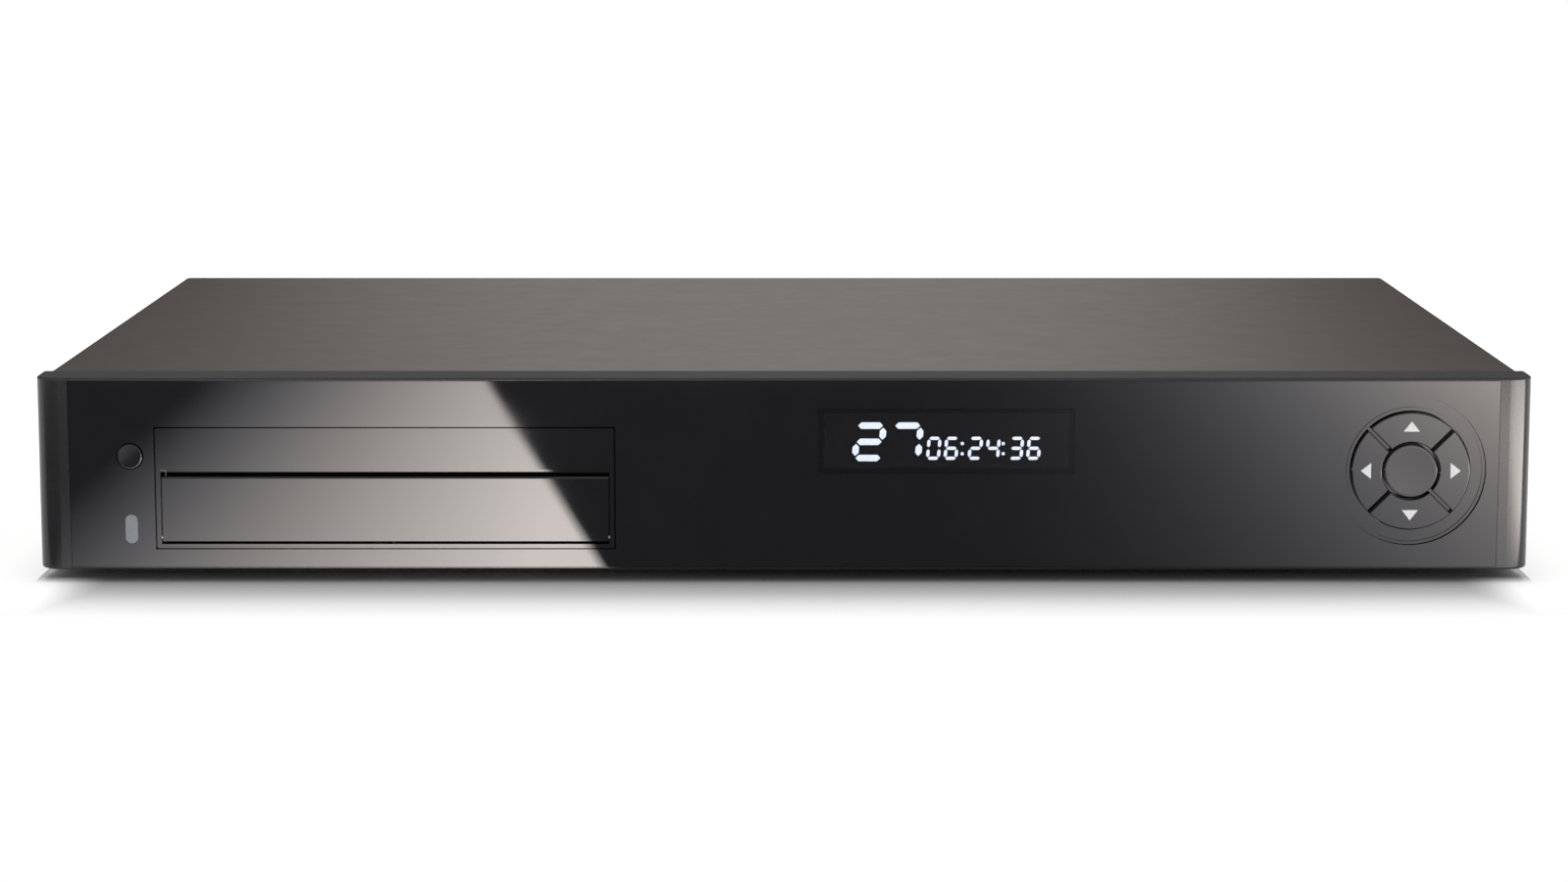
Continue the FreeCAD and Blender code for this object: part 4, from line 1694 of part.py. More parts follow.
def fan_rotor():
    y0 = FAN_FRONT + FAN_ROTOR_START
    depth = FAN_THICK - FAN_ROTOR_SHORT
    reach = FAN_DUCT - FAN_TIP_GAP
    centre = (FAN_X, 0, FAN_Z)
    thick, chord = FAN_BLADE_THICK / 2, FAN_BLADE_CHORD / 2
    pieces = [rod(FAN_HUB, (FAN_X, y0, FAN_Z), Y_AXIS, depth)]
    flat = box(FAN_X + FAN_HUB - FAN_BLADE_ROOT, FAN_X + reach, -thick, thick, FAN_Z - chord, FAN_Z + chord)
    flat = rotated(flat, centre, X_AXIS, FAN_BLADE_ANGLE)
    flat.translate(Vector(0, y0 + depth / 2, 0))
    pieces += [rotated(flat, centre, Y_AXIS, 360.0 * i / FAN_BLADES) for i in range(FAN_BLADES)]
    body = fuse(pieces).common(rod(reach, (FAN_X, y0, FAN_Z), Y_AXIS, depth))
    return body.cut(rod(FAN_SHAFT_RADIUS + BORE_FIT, (FAN_X, y0 - CUT, FAN_Z), Y_AXIS, FAN_THICK - 4 * CUT))


def network_jack():
    x0, x1, z0, z1 = network_hole()
    x = (x0 + x1) / 2
    body = box(x0, x1, PORT_OUT - NETWORK_DEPTH, PORT_OUT, z0, z1)
    half = NETWORK_MOUTH_WIDTH / 2
    mouth = box(x - half, x + half, PORT_OUT - NETWORK_MOUTH_DEPTH, PORT_OUT + CUT,
                z0 + NETWORK_FLOOR, z1 - NETWORK_ROOF)
    half = LATCH_WIDTH / 2
    latch = box(x - half, x + half, PORT_OUT - LATCH_DEPTH, PORT_OUT + CUT,
                z0 + LATCH_FLOOR, z0 + NETWORK_FLOOR + FIT)
    return drill(body, [mouth, latch])


def usb_ports():
    x0, x1, z0, z1 = usb_hole()
    body = box(x0, x1, PORT_OUT - USB_DEPTH, PORT_OUT, z0, z1)
    middle = (z0 + z1) / 2
    tongues, holes = [], []
    for base in (z0 + USB_LOW_WALL, middle + USB_MIDDLE_WALL):
        holes.append(box(x0 + USB_WALL, x1 - USB_WALL, PORT_OUT - USB_MOUTH_DEPTH, PORT_OUT + CUT,
                         base, base + USB_MOUTH_HEIGHT))
        tongues.append(box(x0 + USB_TONGUE_INSET, x1 - USB_TONGUE_INSET, PORT_OUT - USB_MOUTH_DEPTH - CUT / 2,
                           PORT_OUT - USB_TONGUE_SINK, base + USB_TONGUE_RISE,
                           base + USB_TONGUE_RISE + USB_TONGUE_THICK))
    return fuse([body.cut(holes)] + tongues)


def hdmi_port():
    x0, x1, z0, z1 = hdmi_hole()
    inside = PORT_OUT - HDMI_MOUTH_DEPTH
    wall = HDMI_WALL
    body = box(x0, x1, PORT_OUT - HDMI_DEPTH, PORT_OUT, z0, z1)
    upper = box(x0 + wall, x1 - wall, inside, PORT_OUT + CUT, z0 + HDMI_STEP, z1 - wall)
    lower = box(x0 + HDMI_STEP_INSET, x1 - HDMI_STEP_INSET, inside, PORT_OUT + CUT,
                z0 + wall, z0 + HDMI_STEP + FIT)
    low = z0 + HDMI_STEP + 2 * FIT
    tongue = box(x0 + HDMI_TONGUE_INSET, x1 - HDMI_TONGUE_INSET, inside - CUT / 2, PORT_OUT - HDMI_TONGUE_SINK,
                 low, low + HDMI_TONGUE_THICK)
    return fuse([drill(body, [upper, lower]), tongue])


def av_jacks():
    """The insulating blocks that carry the phono jacks."""
    places = jack_places()
    half = JACK_PITCH / 2
    front, back = REAR_IN - JACK_BLOCK_DEPTH, JACK_START
    grid = places[:-1]
    top = max(z for x, z in grid) + half
    block = box(min(x for x, z in grid) - half, max(x for x, z in grid) + half, front, back, MAIN_TOP, top)
    x, z = places[-1]
    return [block, box(x - half, x + half, front, back, MAIN_TOP, z + half)]


def jack_sleeves():
    """Plated barrels, each with a collar that stands in the rear panel's hole."""
    length = JACK_END - JACK_START
    sleeves = []
    for x, z in jack_places():
        start = (x, JACK_START, z)
        collar = rod(JACK_COLLAR, start, Y_AXIS, REAR_OUT + JACK_COLLAR_PROUD - JACK_START)
        barrel = rod(JACK_RADIUS, start, Y_AXIS, length)
        bore = rod(JACK_BORE, (x, JACK_START - CUT, z), Y_AXIS, length + 2 * CUT)
        sleeves.append(fuse([collar, barrel]).cut(bore))
    return sleeves


def jack_inserts():
    """Coloured insulators inside the barrels, round the centre contact's hole."""
    length = JACK_END - JACK_START - JACK_INSERT_SINK
    return [tube(JACK_BORE - FIT / 2, JACK_CONTACT, (x, JACK_START, z), Y_AXIS, length)
            for x, z in jack_places()]


# ------------------------------------------------------------------ fasteners and leads
def case_screws():
    """Black screws that show outside: the cover's sides and lip, and the fan."""
    made = []
    for side, y, z in cover_side_screws():
        made.append(screw((side * COVER_X, y, z), X_AXIS * -side, COVER_SCREW_LENGTH))
    for x, z in cover_rear_screws():
        made.append(screw((x, REAR, z), Y_AXIS * -1, COVER_SCREW_LENGTH))
    for x, z in fan_hole_places():
        made.append(screw((x, REAR_OUT, z), Y_AXIS * -1, FAN_THICK + SHEET))
    return made


def inner_screws():
    down = Z_AXIS * -1
    made = [screw((x, y, FLOOR + SHEET), down, 2 * SHEET - FIT) for x, y in flange_screws() + cage_screws()]
    made += [screw((x, y, MAIN_TOP), down, BOARD_SCREW_LENGTH) for x, y in main_holes() + psu_holes()]
    made += [screw((x, FRAME_BACK, z), Y_AXIS * -1, FRAME_SCREW_LENGTH) for x, z in frame_boss_places()]
    made += [screw((x, BOARD_BACK, z), Y_AXIS * -1, FRONT_SCREW_LENGTH) for x, z in front_board_holes()]
    made += [screw((x, BACKPLANE_FRONT, z), Y_AXIS, BOARD + 2 * SHEET) for x, z in backplane_holes()]
    return made


def front_ribbon():
    """Flat cable from the display board, through the front frame, down to the main board's header."""
    x0 = MAIN_LEFT + FLAT_SOCKET_FROM_LEFT + (FLAT_SOCKET_WIDTH - FLAT_CABLE_WIDTH) / 2 - CUT
    z = DISPLAY_Z - FLAT_HEADER_HEIGHT / 2
    end_y = MAIN_FRONT + FLAT_SOCKET_FROM_FRONT + FLAT_SOCKET_DEPTH / 2
    end_z = MAIN_TOP + FLAT_SOCKET_HEIGHT
    route = [(BOARD_BACK + FLAT_HEADER_THICK, z), ((FRAME_BACK + MAIN_FRONT) / 2, z),
             (end_y, end_z + FLAT_CABLE_RISE), (end_y, end_z)]
    return ribbon(route, x0, x0 + FLAT_CABLE_WIDTH, FLAT_CABLE_THICK)


def supply_leads():
    """Leads from the supply's outlet, round the cage, to the main board's power header."""
    leads = []
    x_from = PSU_RIGHT - OUTLET_FROM_RIGHT + OUTLET_WIDTH / 2
    y_from = PSU_FRONT + OUTLET_FROM_FRONT + OUTLET_LENGTH / 2
    x_to = MAIN_LEFT + POWER_SOCKET_FROM_LEFT + POWER_SOCKET_WIDTH / 2
    y_to = MAIN_FRONT + POWER_SOCKET_FROM_FRONT + POWER_SOCKET_LENGTH / 2
    past_cage = TRAY_X + CAGE_HALF + SHEET + LEAD_FROM_CAGE
    low = MAIN_TOP + POWER_SOCKET_HEIGHT
    high = low + LEAD_RISE
    for i in range(LEAD_COUNT):
        shift = (i - (LEAD_COUNT - 1) / 2) * LEAD_PITCH
        y0 = y_from + shift
        y1 = y_to + shift
        route = [(x_from, y0, low), (x_from, y0, high), (past_cage, y0, high),
                 (x_to, y1, high), (x_to, y1, low)]
        leads.append(cable(route, LEAD_RADIUS))
    return leads


def main():
    os.makedirs("parts", exist_ok=True)
    feet, pads = foot_parts()
    right, up, left, down = direction_keys()
    save("chassis_base", chassis_base())
    save("rear_panel", rear_panel())
    save("top_cover", top_cover())
    save("front_frame", front_frame())
    save("feet", *feet)
    save("foot_pads", *pads)
    save("case_screws", *case_screws())
    save("inner_screws", *inner_screws())
    save("front_fascia", front_fascia())
    save("front_panel", front_panel())
    save("display_window", display_window())
    save("display_tube", display_tube())
    save("status_light", status_light())
    save("front_boards", *front_boards())
    save("tact_switches", *tact_switches())
    save("nav_bezel", nav_bezel())
    save("key_right", right)
    save("key_up", up)
    save("key_left", left)
    save("key_down", down)
    save("key_ok", round_key(NAV_X, NAV_Z, OK_RADIUS))
    save("power_button", round_key(BUTTON_X, BUTTON_Z, BUTTON_RADIUS))
    save("tray_bezel", tray_bezel())
    save("tray_flap", tray_flap())
    save("flap_pin", flap_pin())
    save("flap_spring", *flap_spring())
    save("tray_body", tray_body())
    save("guide_rails", *guide_rails())
    save("tray_detents", *tray_detents())
    save("bay_cage", bay_cage())
    save("backplane_board", *backplane_board())
    save("backplane_socket", backplane_socket())
    save("drive_casting", drive_casting())
    save("drive_lid", drive_lid())
    save("drive_platters", drive_platters())
    save("drive_head_arm", drive_head_arm())
    save("drive_board", *drive_board())
    save("drive_screws", *drive_screws())
    save("main_board", *main_board())
    save("standoffs", *standoffs())
    save("board_chips", *board_chips())
    save("soc_heatsink", soc_heatsink())
    save("capacitors", *capacitors())
    save("psu_board", *psu_board())
    save("psu_transformer", psu_transformer())
    save("psu_heatsinks", *psu_heatsinks())
    save("power_inlet", power_inlet())
    save("inlet_pins", *inlet_pins())
    save("rocker_frame", rocker_frame())
    save("power_rocker", power_rocker())
    save("fan_frame", fan_frame())
    save("fan_rotor", fan_rotor())
    save("network_jack", network_jack())
    save("usb_ports", usb_ports())
    save("hdmi_port", hdmi_port())
    save("av_jacks", *av_jacks())
    save("jack_sleeves", *jack_sleeves())
    save("jack_inserts", *jack_inserts())
    save("front_ribbon", front_ribbon())
    save("supply_leads", *supply_leads())


main()
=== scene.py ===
"""Looks of the media player with hard drive tray: camera, studio, finishes and small detail."""

import math

import bmesh
import bpy
from mathutils import Matrix, Vector


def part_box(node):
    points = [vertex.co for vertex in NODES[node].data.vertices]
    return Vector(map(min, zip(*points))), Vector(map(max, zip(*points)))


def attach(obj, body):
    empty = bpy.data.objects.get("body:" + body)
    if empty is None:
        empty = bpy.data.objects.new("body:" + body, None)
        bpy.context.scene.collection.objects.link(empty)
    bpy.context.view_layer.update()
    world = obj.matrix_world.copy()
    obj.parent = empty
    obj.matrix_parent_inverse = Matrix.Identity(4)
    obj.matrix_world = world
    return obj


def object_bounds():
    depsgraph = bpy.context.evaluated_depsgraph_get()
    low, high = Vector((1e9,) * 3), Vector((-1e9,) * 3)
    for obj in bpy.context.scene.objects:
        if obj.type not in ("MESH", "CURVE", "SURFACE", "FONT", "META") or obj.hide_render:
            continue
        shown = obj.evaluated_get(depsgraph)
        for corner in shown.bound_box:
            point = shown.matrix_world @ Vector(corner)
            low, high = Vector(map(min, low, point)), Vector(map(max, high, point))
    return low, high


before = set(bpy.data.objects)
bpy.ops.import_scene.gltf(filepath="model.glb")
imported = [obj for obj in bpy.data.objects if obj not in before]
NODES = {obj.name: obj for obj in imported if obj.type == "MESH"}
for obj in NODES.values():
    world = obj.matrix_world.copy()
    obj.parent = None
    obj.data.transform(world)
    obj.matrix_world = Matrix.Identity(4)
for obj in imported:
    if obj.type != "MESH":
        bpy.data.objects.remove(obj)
cad_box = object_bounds()
MM = 0.001

# ------------------------------------------------------------------ camera
LENS_PLACE = Vector((0.0, -1.2307, 0.2057))
LENS_PITCH = math.radians(8.569)      # below the horizon
LENS_LENGTH = 87.39
SENSOR_WIDTH = 36.0


def make_camera():
    data = bpy.data.cameras.new("camera")
    data.sensor_width = SENSOR_WIDTH
    data.lens = LENS_LENGTH
    data.clip_end = 60.0
    camera = bpy.data.objects.new("camera", data)
    camera.location = LENS_PLACE
    camera.rotation_euler = (math.pi / 2 - LENS_PITCH, 0, 0)
    bpy.context.scene.collection.objects.link(camera)
    bpy.context.scene.camera = camera


# ------------------------------------------------------------------ materials
GLOSS_IOR = 1.45
BLACK = (0.006, 0.0055, 0.0068)
SATIN_BLACK = (0.012, 0.0118, 0.0125)
FRAME_BLACK = (0.022, 0.022, 0.0225)
COVER_BROWN = (0.040, 0.030, 0.023)
ZINC = (0.60, 0.61, 0.62)
STEEL = (0.58, 0.58, 0.59)
NICKEL = (0.66, 0.63, 0.58)
GOLD = (0.80, 0.60, 0.28)
BRASS = (0.68, 0.50, 0.22)
ALLOY = (0.66, 0.67, 0.69)
GREEN = (0.012, 0.095, 0.035)
TAN = (0.36, 0.25, 0.10)
PLATTER = (0.72, 0.72, 0.74)


class Look:
    """A material in the making: nodes that feed one Principled shader."""

    def __init__(self, name, roughness=0.5, metallic=0.0, **sockets):
        self.material = bpy.data.materials.new(name)
        self.material.use_nodes = True
        self.tree = self.material.node_tree
        self.shader = self.tree.nodes["Principled BSDF"]
        self.shader.inputs["Roughness"].default_value = roughness
        self.shader.inputs["Metallic"].default_value = metallic
        for socket, value in sockets.items():
            self.shader.inputs[socket].default_value = value
        self.place = self.node("ShaderNodeTexCoord").outputs["Object"]

    def node(self, kind, **settings):
        node = self.tree.nodes.new(kind)
        for name, value in settings.items():
            setattr(node, name, value)
        return node

    def feed(self, socket, value):
        """A socket takes a plain value or another node's output."""
        if isinstance(value, bpy.types.NodeSocket):
            self.tree.links.new(value, socket)
        else:
            socket.default_value = value

    def stretched(self, x, y, z):
        mapping = self.node("ShaderNodeMapping")
        self.feed(mapping.inputs["Vector"], self.place)
        mapping.inputs["Scale"].default_value = (x, y, z)
        return mapping.outputs["Vector"]

    def noise(self, scale, detail=3.0, vector=None):
        noise = self.node("ShaderNodeTexNoise")
        noise.inputs["Scale"].default_value = scale
        noise.inputs["Detail"].default_value = detail
        self.feed(noise.inputs["Vector"], vector or self.place)
        return noise.outputs["Fac"]

    def cells(self, scale):
        cells = self.node("ShaderNodeTexVoronoi")
        cells.inputs["Scale"].default_value = scale
        self.feed(cells.inputs["Vector"], self.place)
        return cells.outputs["Distance"]

    def math(self, operation, a, b=0.0, c=0.0, clamp=False):
        node = self.node("ShaderNodeMath", operation=operation, use_clamp=clamp)
        for socket, value in zip(node.inputs, (a, b, c)):
            self.feed(socket, value)
        return node.outputs["Value"]

    def span(self, value, low, high, start=0.0, end=1.0):
        """value from start to end becomes low to high, and stays there outside."""
        node = self.node("ShaderNodeMapRange")
        for name, number in (("Value", value), ("From Min", start), ("From Max", end),
                             ("To Min", low), ("To Max", high)):
            self.feed(node.inputs[name], number)
        return node.outputs["Result"]

    def mix(self, share, a, b):
        node = self.node("ShaderNodeMix", data_type="RGBA")
        self.feed(node.inputs[0], share)
        self.feed(node.inputs[6], a)
        self.feed(node.inputs[7], b)
        return node.outputs[2]

    def axes(self):
        node = self.node("ShaderNodeSeparateXYZ")
        self.feed(node.inputs["Vector"], self.place)
        return node.outputs

    def inside(self, low, high):
        """1 inside a box of the row frame, and 0 outside."""
        share = None
        for value, a, b in zip(self.axes(), low, high):
            near = self.math("COMPARE", value, (a + b) / 2, (b - a) / 2)
            share = near if share is None else self.math("MULTIPLY", share, near)
        return share

    def ramp(self, value, stops):
        """Levels from stops of (place, level), straight between them."""
        first, last = stops[0][0], stops[-1][0]
        node = self.node("ShaderNodeValToRGB")
        self.feed(node.inputs["Fac"], self.span(value, 0.0, 1.0, first, last))
        elements = node.color_ramp.elements
        while len(elements) < len(stops):
            elements.new(0.5)
        for element, (place, level) in zip(elements, stops):
            element.position = (place - first) / (last - first)
            element.color = (level, level, level, 1.0)
        return node.outputs["Color"]

    def colour(self, value):
        self.feed(self.shader.inputs["Base Color"], value)

    def rough(self, value):
        self.feed(self.shader.inputs["Roughness"], value)

    def bump(self, height, depth):
        """depth is how high, in metres, a full step of height stands."""
        node = self.node("ShaderNodeBump")
        node.inputs["Distance"].default_value = depth
        self.feed(node.inputs["Height"], height)
        self.feed(self.shader.inputs["Normal"], node.outputs["Normal"])

    def glow(self, colour, strength):
        self.feed(self.shader.inputs["Emission Color"], colour)
        self.feed(self.shader.inputs["Emission Strength"], strength)


def shade(colour, factor):
    return tuple(min(1.0, c * factor) for c in colour) + (1.0,)


def speckled(look, colour, spread, scale):
    """The colour wanders softly by +- spread, with finer grain in it."""
    wander = look.math("MULTIPLY", look.noise(scale * 0.08), look.noise(scale), clamp=True)
    share = look.span(wander, 0, 1, 0.12, 0.42)
    look.colour(look.mix(share, shade(colour, 1 - spread), shade(colour, 1 + spread)))


def moulded(name, colour, roughness=0.5, grain=0.02 * MM, scale=1400.0):
    """Moulded plastic: spark-eroded grain, handling shine in soft patches."""
    look = Look(name)
    speckled(look, colour, 0.18, scale)
    look.rough(look.span(look.noise(38.0), roughness - 0.07, roughness + 0.07, 0.3, 0.7))
    look.bump(look.noise(scale, 4.0), grain)
    return look


def glossy(name, colour, roughness=0.035):
    """High-gloss acrylic: faint wipe marks, dust in the grain and a trace of orange peel."""
    look = Look(name, IOR=GLOSS_IOR)
    speckled(look, colour, 0.25, 900.0)
    wipes = look.noise(22.0, 5.0, look.stretched(0.35, 1.0, 1.6))
    dust = look.span(look.cells(650.0), 1.0, 0.0, 0.0, 0.09)
    clean = look.span(wipes, roughness, roughness * 2.2, 0.42, 0.75)
    look.rough(look.math("ADD", clean, look.math("MULTIPLY", dust, 0.04)))
    look.bump(look.noise(55.0, 2.0), 0.004 * MM)
    return look


def coated(name, colour, roughness, peel, scale=1500.0):
    """Paint or powder on sheet steel: fine peel, colour that wanders a little."""
    look = Look(name)
    speckled(look, colour, 0.10, scale)
    look.rough(look.span(look.noise(90.0), roughness - 0.02, roughness + 0.02, 0.3, 0.7))
    look.bump(look.math("ADD", look.noise(scale, 2.0), look.cells(scale * 0.7)), peel)
    return look


def plated(name, colour, roughness=0.25):
    """Plated or polished metal: soft tarnish and fine marks."""
    look = Look(name, metallic=1.0)
    tarnish = look.noise(140.0, 5.0)
    look.colour(look.mix(look.span(tarnish, 0, 1, 0.4, 0.7), shade(colour, 1.04), shade(colour, 0.78)))
    look.rough(look.span(tarnish, roughness * 0.8, roughness * 1.5, 0.3, 0.75))
    look.bump(look.noise(2600.0), 0.004 * MM)
    return look


def brushed(name, colour, along=(1.0, 14.0, 14.0), roughness=0.32):
    """Metal with a drawn grain along one axis."""
    look = Look(name, metallic=1.0)
    grain = look.noise(260.0, 6.0, look.stretched(*along))
    look.colour(look.mix(grain, shade(colour, 0.85), shade(colour, 1.12)))
    look.rough(look.span(grain, roughness - 0.08, roughness + 0.1, 0.3, 0.7))
    look.bump(grain, 0.006 * MM)
    return look


def board(name, colour):
    """Circuit board: traces under the solder mask, and tinned dots."""
    look = Look(name, roughness=0.35, IOR=1.5)
    squares = look.node("ShaderNodeTexBrick", offset=0.5, squash=0.6, squash_frequency=3)
    look.feed(squares.inputs["Vector"], look.place)
    squares.inputs["Scale"].default_value = 160.0
    squares.inputs["Mortar Size"].default_value = 0.03
    mask = look.mix(look.noise(60.0), shade(colour, 0.85), shade(colour, 1.1))
    traced = look.mix(squares.outputs["Fac"], mask, shade(colour, 1.7))
    dots = look.span(look.cells(420.0), 1.0, 0.0, 0.10, 0.16)
    look.colour(look.mix(dots, traced, (0.62, 0.60, 0.55, 1.0)))
    look.feed(look.shader.inputs["Metallic"], look.math("MULTIPLY", dots, 0.9))
    look.rough(look.span(look.noise(300.0), 0.25, 0.42))
    look.bump(look.math("ADD", squares.outputs["Fac"], dots), 0.03 * MM)
    return look


def two_tone(look, share, first, second):
    """Repaints part of a finished look: share 0 keeps the first colour."""
    grain = look.noise(900.0)
    plain = look.mix(grain, shade(first, 0.88), shade(first, 1.12))
    other = look.mix(grain, shade(second, 0.88), shade(second, 1.12))
    look.colour(look.mix(share, plain, other))


FASCIA_SHEEN = (0.18, 0.23)
SANDED_RISE = 0.68                    # added roughness of the fascia's upper face
SANDED_FROM, SANDED_TO = 0.75 * MM, 0.25 * MM      # below the fascia's top


def fascia_satin():
    """Satin front and ends; the sanded upper face is nearly matt."""
    look = moulded("satin_black", SATIN_BLACK, grain=0.004 * MM)
    look.shader.inputs["Specular IOR Level"].default_value = 0.45
    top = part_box("front_fascia")[1].z
    sheen = look.span(look.noise(38.0), *FASCIA_SHEEN, 0.3, 0.7)
    upper = look.span(look.axes()[2], 0.0, SANDED_RISE, top - SANDED_FROM, top - SANDED_TO)
    look.rough(look.math("ADD", sheen, upper))
    return look


def smoked_window():
    """Clear acrylic with a smoke tint, over the display."""
    look = Look("smoked_acrylic", roughness=0.03, IOR=GLOSS_IOR)
    look.shader.inputs["Transmission Weight"].default_value = 1.0
    look.colour(look.mix(look.noise(70.0), (0.10, 0.10, 0.115, 1.0), (0.13, 0.13, 0.145, 1.0)))
    look.rough(look.span(look.noise(24.0, 5.0), 0.0, 0.04, 0.4, 0.8))
    look.bump(look.noise(55.0, 2.0), 0.002 * MM)
    return look


ANODE_PITCH = 2.4 * MM
ANODE_EDGE = 0.5 * MM


def display_glass():
    """Dark glass over columns of dim anodes."""
    look = Look("display_glass", roughness=0.5)
    look.shader.inputs["Specular IOR Level"].default_value = 0.15
    columns = look.math("PINGPONG", look.axes()[0], ANODE_PITCH)
    share = look.span(columns, 1.0, 0.0, 0.0, ANODE_EDGE)
    look.colour(look.mix(share, (0.004, 0.005, 0.006, 1.0), (0.007, 0.008, 0.009, 1.0)))
    look.rough(look.span(look.noise(120.0), 0.42, 0.58))
    look.bump(look.noise(200.0), 0.004 * MM)
    return look


def milky_light():
    """Status light: milky plastic, dimly lit."""
    look = moulded("milky_light", (0.22, 0.225, 0.235), 0.3, grain=0.005 * MM)
    look.shader.inputs["Subsurface Weight"].default_value = 0.2
    look.glow((0.80, 0.88, 1.0, 1.0), 0.06)
    return look


PORT_WALL = 0.75 * MM
PORT_SINK = 0.5 * MM


def port_shell(name, node):
    """Tin-plated shell with black insulation inside its mouth."""
    low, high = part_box(node)
    look = plated(name, NICKEL, 0.28)
    share = look.inside((low.x + PORT_WALL, low.y - PORT_WALL, low.z + PORT_WALL),
                        (high.x - PORT_WALL, high.y - PORT_SINK, high.z - PORT_WALL))
    tarnish = look.noise(140.0, 5.0)
    metal = look.mix(look.span(tarnish, 0, 1, 0.4, 0.7), shade(NICKEL, 1.04), shade(NICKEL, 0.78))
    look.colour(look.mix(share, metal, shade(SATIN_BLACK, 1.5)))
    look.feed(look.shader.inputs["Metallic"], look.math("SUBTRACT", 1.0, share))
    return look


JACK_PITCH = 14.0 * MM
JACK_EDGE = 0.82           # first change of colour from the right, in pitches
JACK_PAIRS = (             # colours below and above, from the right
    ((0.55, 0.012, 0.010), (0.62, 0.60, 0.56)),
    ((0.70, 0.47, 0.015), (0.02, 0.09, 0.45)),
    ((0.03, 0.34, 0.05), (0.55, 0.012, 0.010)),
)
JACK_SINGLE = (0.75, 0.22, 0.01)


def jack_colours():
    """Phono insulators: three columns of two from the right, and one by itself."""
    look = moulded("jack_colours", (0.5, 0.5, 0.5), 0.35, grain=0.006 * MM)
    low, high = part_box("jack_inserts")
    x, _, z = look.axes()
    upper = look.math("GREATER_THAN", z, (low.z + high.z) / 2)
    paint = shade(JACK_SINGLE, 1.0)
    for column, (below, above) in reversed(list(enumerate(JACK_PAIRS))):
        edge = high.x - (column + JACK_EDGE) * JACK_PITCH
        pair = look.mix(upper, shade(below, 1.0), shade(above, 1.0))
        paint = look.mix(look.math("GREATER_THAN", x, edge), paint, pair)
    look.colour(look.mix(look.span(look.noise(700.0), 0.0, 0.25), paint, (0.02, 0.02, 0.02, 1.0)))
    return look


def capacitor_sleeves():
    """Printed black sleeves with a bare rolled top."""
    look = Look("capacitor_sleeves", roughness=0.35)
    low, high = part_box("capacitors")
    tall = look.inside((low.x, low.y, high.z - 0.5 * MM), (high.x, high.y, high.z + MM))
    sleeve = look.mix(look.noise(300.0), (0.01, 0.012, 0.03, 1), (0.02, 0.024, 0.05, 1))
    look.colour(look.mix(tall, sleeve, shade(ALLOY, 1.0)))
    look.feed(look.shader.inputs["Metallic"], tall)
    look.rough(look.span(look.noise(500.0), 0.3, 0.45))
    look.bump(look.noise(700.0), 0.01 * MM)
    return look


def transformer():
    """Dark core with yellow tape round the winding."""
    low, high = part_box("psu_transformer")
    look = moulded("transformer", (0.02, 0.02, 0.02), 0.6, grain=0.04 * MM)
    inset = 5.0 * MM
    share = look.inside((low.x + inset, low.y - MM, low.z + inset),
                        (high.x - inset, high.y + MM, high.z + MM))
    two_tone(look, share, (0.03, 0.03, 0.032), (0.66, 0.50, 0.05))
    return look


def flat_cable():
    """Grey ribbon with a groove between its cores, and painted shade: a darker grey along each groove.
    """
    look = moulded("flat_cable", (0.42, 0.42, 0.40), 0.45, grain=0.01 * MM)
    cores = look.math("PINGPONG", look.axes()[0], 0.5 * MM)
    share = look.span(cores, 1.0, 0.0, 0.0, 0.16 * MM)
    # Painted shade: share is 1 along the grooves, which turn darker grey there.
    two_tone(look, share, (0.46, 0.46, 0.44), (0.20, 0.20, 0.19))
    look.bump(cores, 0.4)
    return look


def lead_colours():
    """Red insulated wires, in two close tones."""
    look = moulded("lead_colours", (0.5, 0.03, 0.02), 0.45, grain=0.01 * MM)
    share = look.span(look.noise(40.0), 0, 1, 0.45, 0.55)
    two_tone(look, share, (0.45, 0.02, 0.015), (0.34, 0.015, 0.012))
    return look


def die_cast():
    look = Look("die_cast", metallic=0.9)
    look.colour(look.mix(look.noise(240.0), shade(ALLOY, 0.5), shade(ALLOY, 0.68)))
    look.rough(look.span(look.noise(500.0), 0.42, 0.58))
    look.bump(look.math("ADD", look.noise(1800.0, 4.0), look.noise(300.0)), 0.03 * MM)
    return look


def platter_mirror():
    look = Look("platter_mirror", metallic=1.0)
    look.colour(look.mix(look.noise(30.0), shade(PLATTER, 0.97), shade(PLATTER, 1.03)))
    look.rough(look.span(look.noise(90.0), 0.03, 0.07))
    look.bump(look.noise(1500.0), 0.0005 * MM)
    return look


def anodised(name, colour):
    look = Look(name, metallic=0.85)
    grain = look.noise(320.0, 5.0, look.stretched(1.0, 0.08, 1.0))
    look.colour(look.mix(grain, shade(colour, 0.85), shade(colour, 1.1)))
    look.rough(look.span(grain, 0.32, 0.5))
    look.bump(grain, 0.01 * MM)
    return look


def epoxy_chips():
    look = moulded("epoxy_chips", (0.018, 0.018, 0.019), 0.42, grain=0.012 * MM)
    look.bump(look.noise(2200.0, 4.0), 0.012 * MM)
    return look


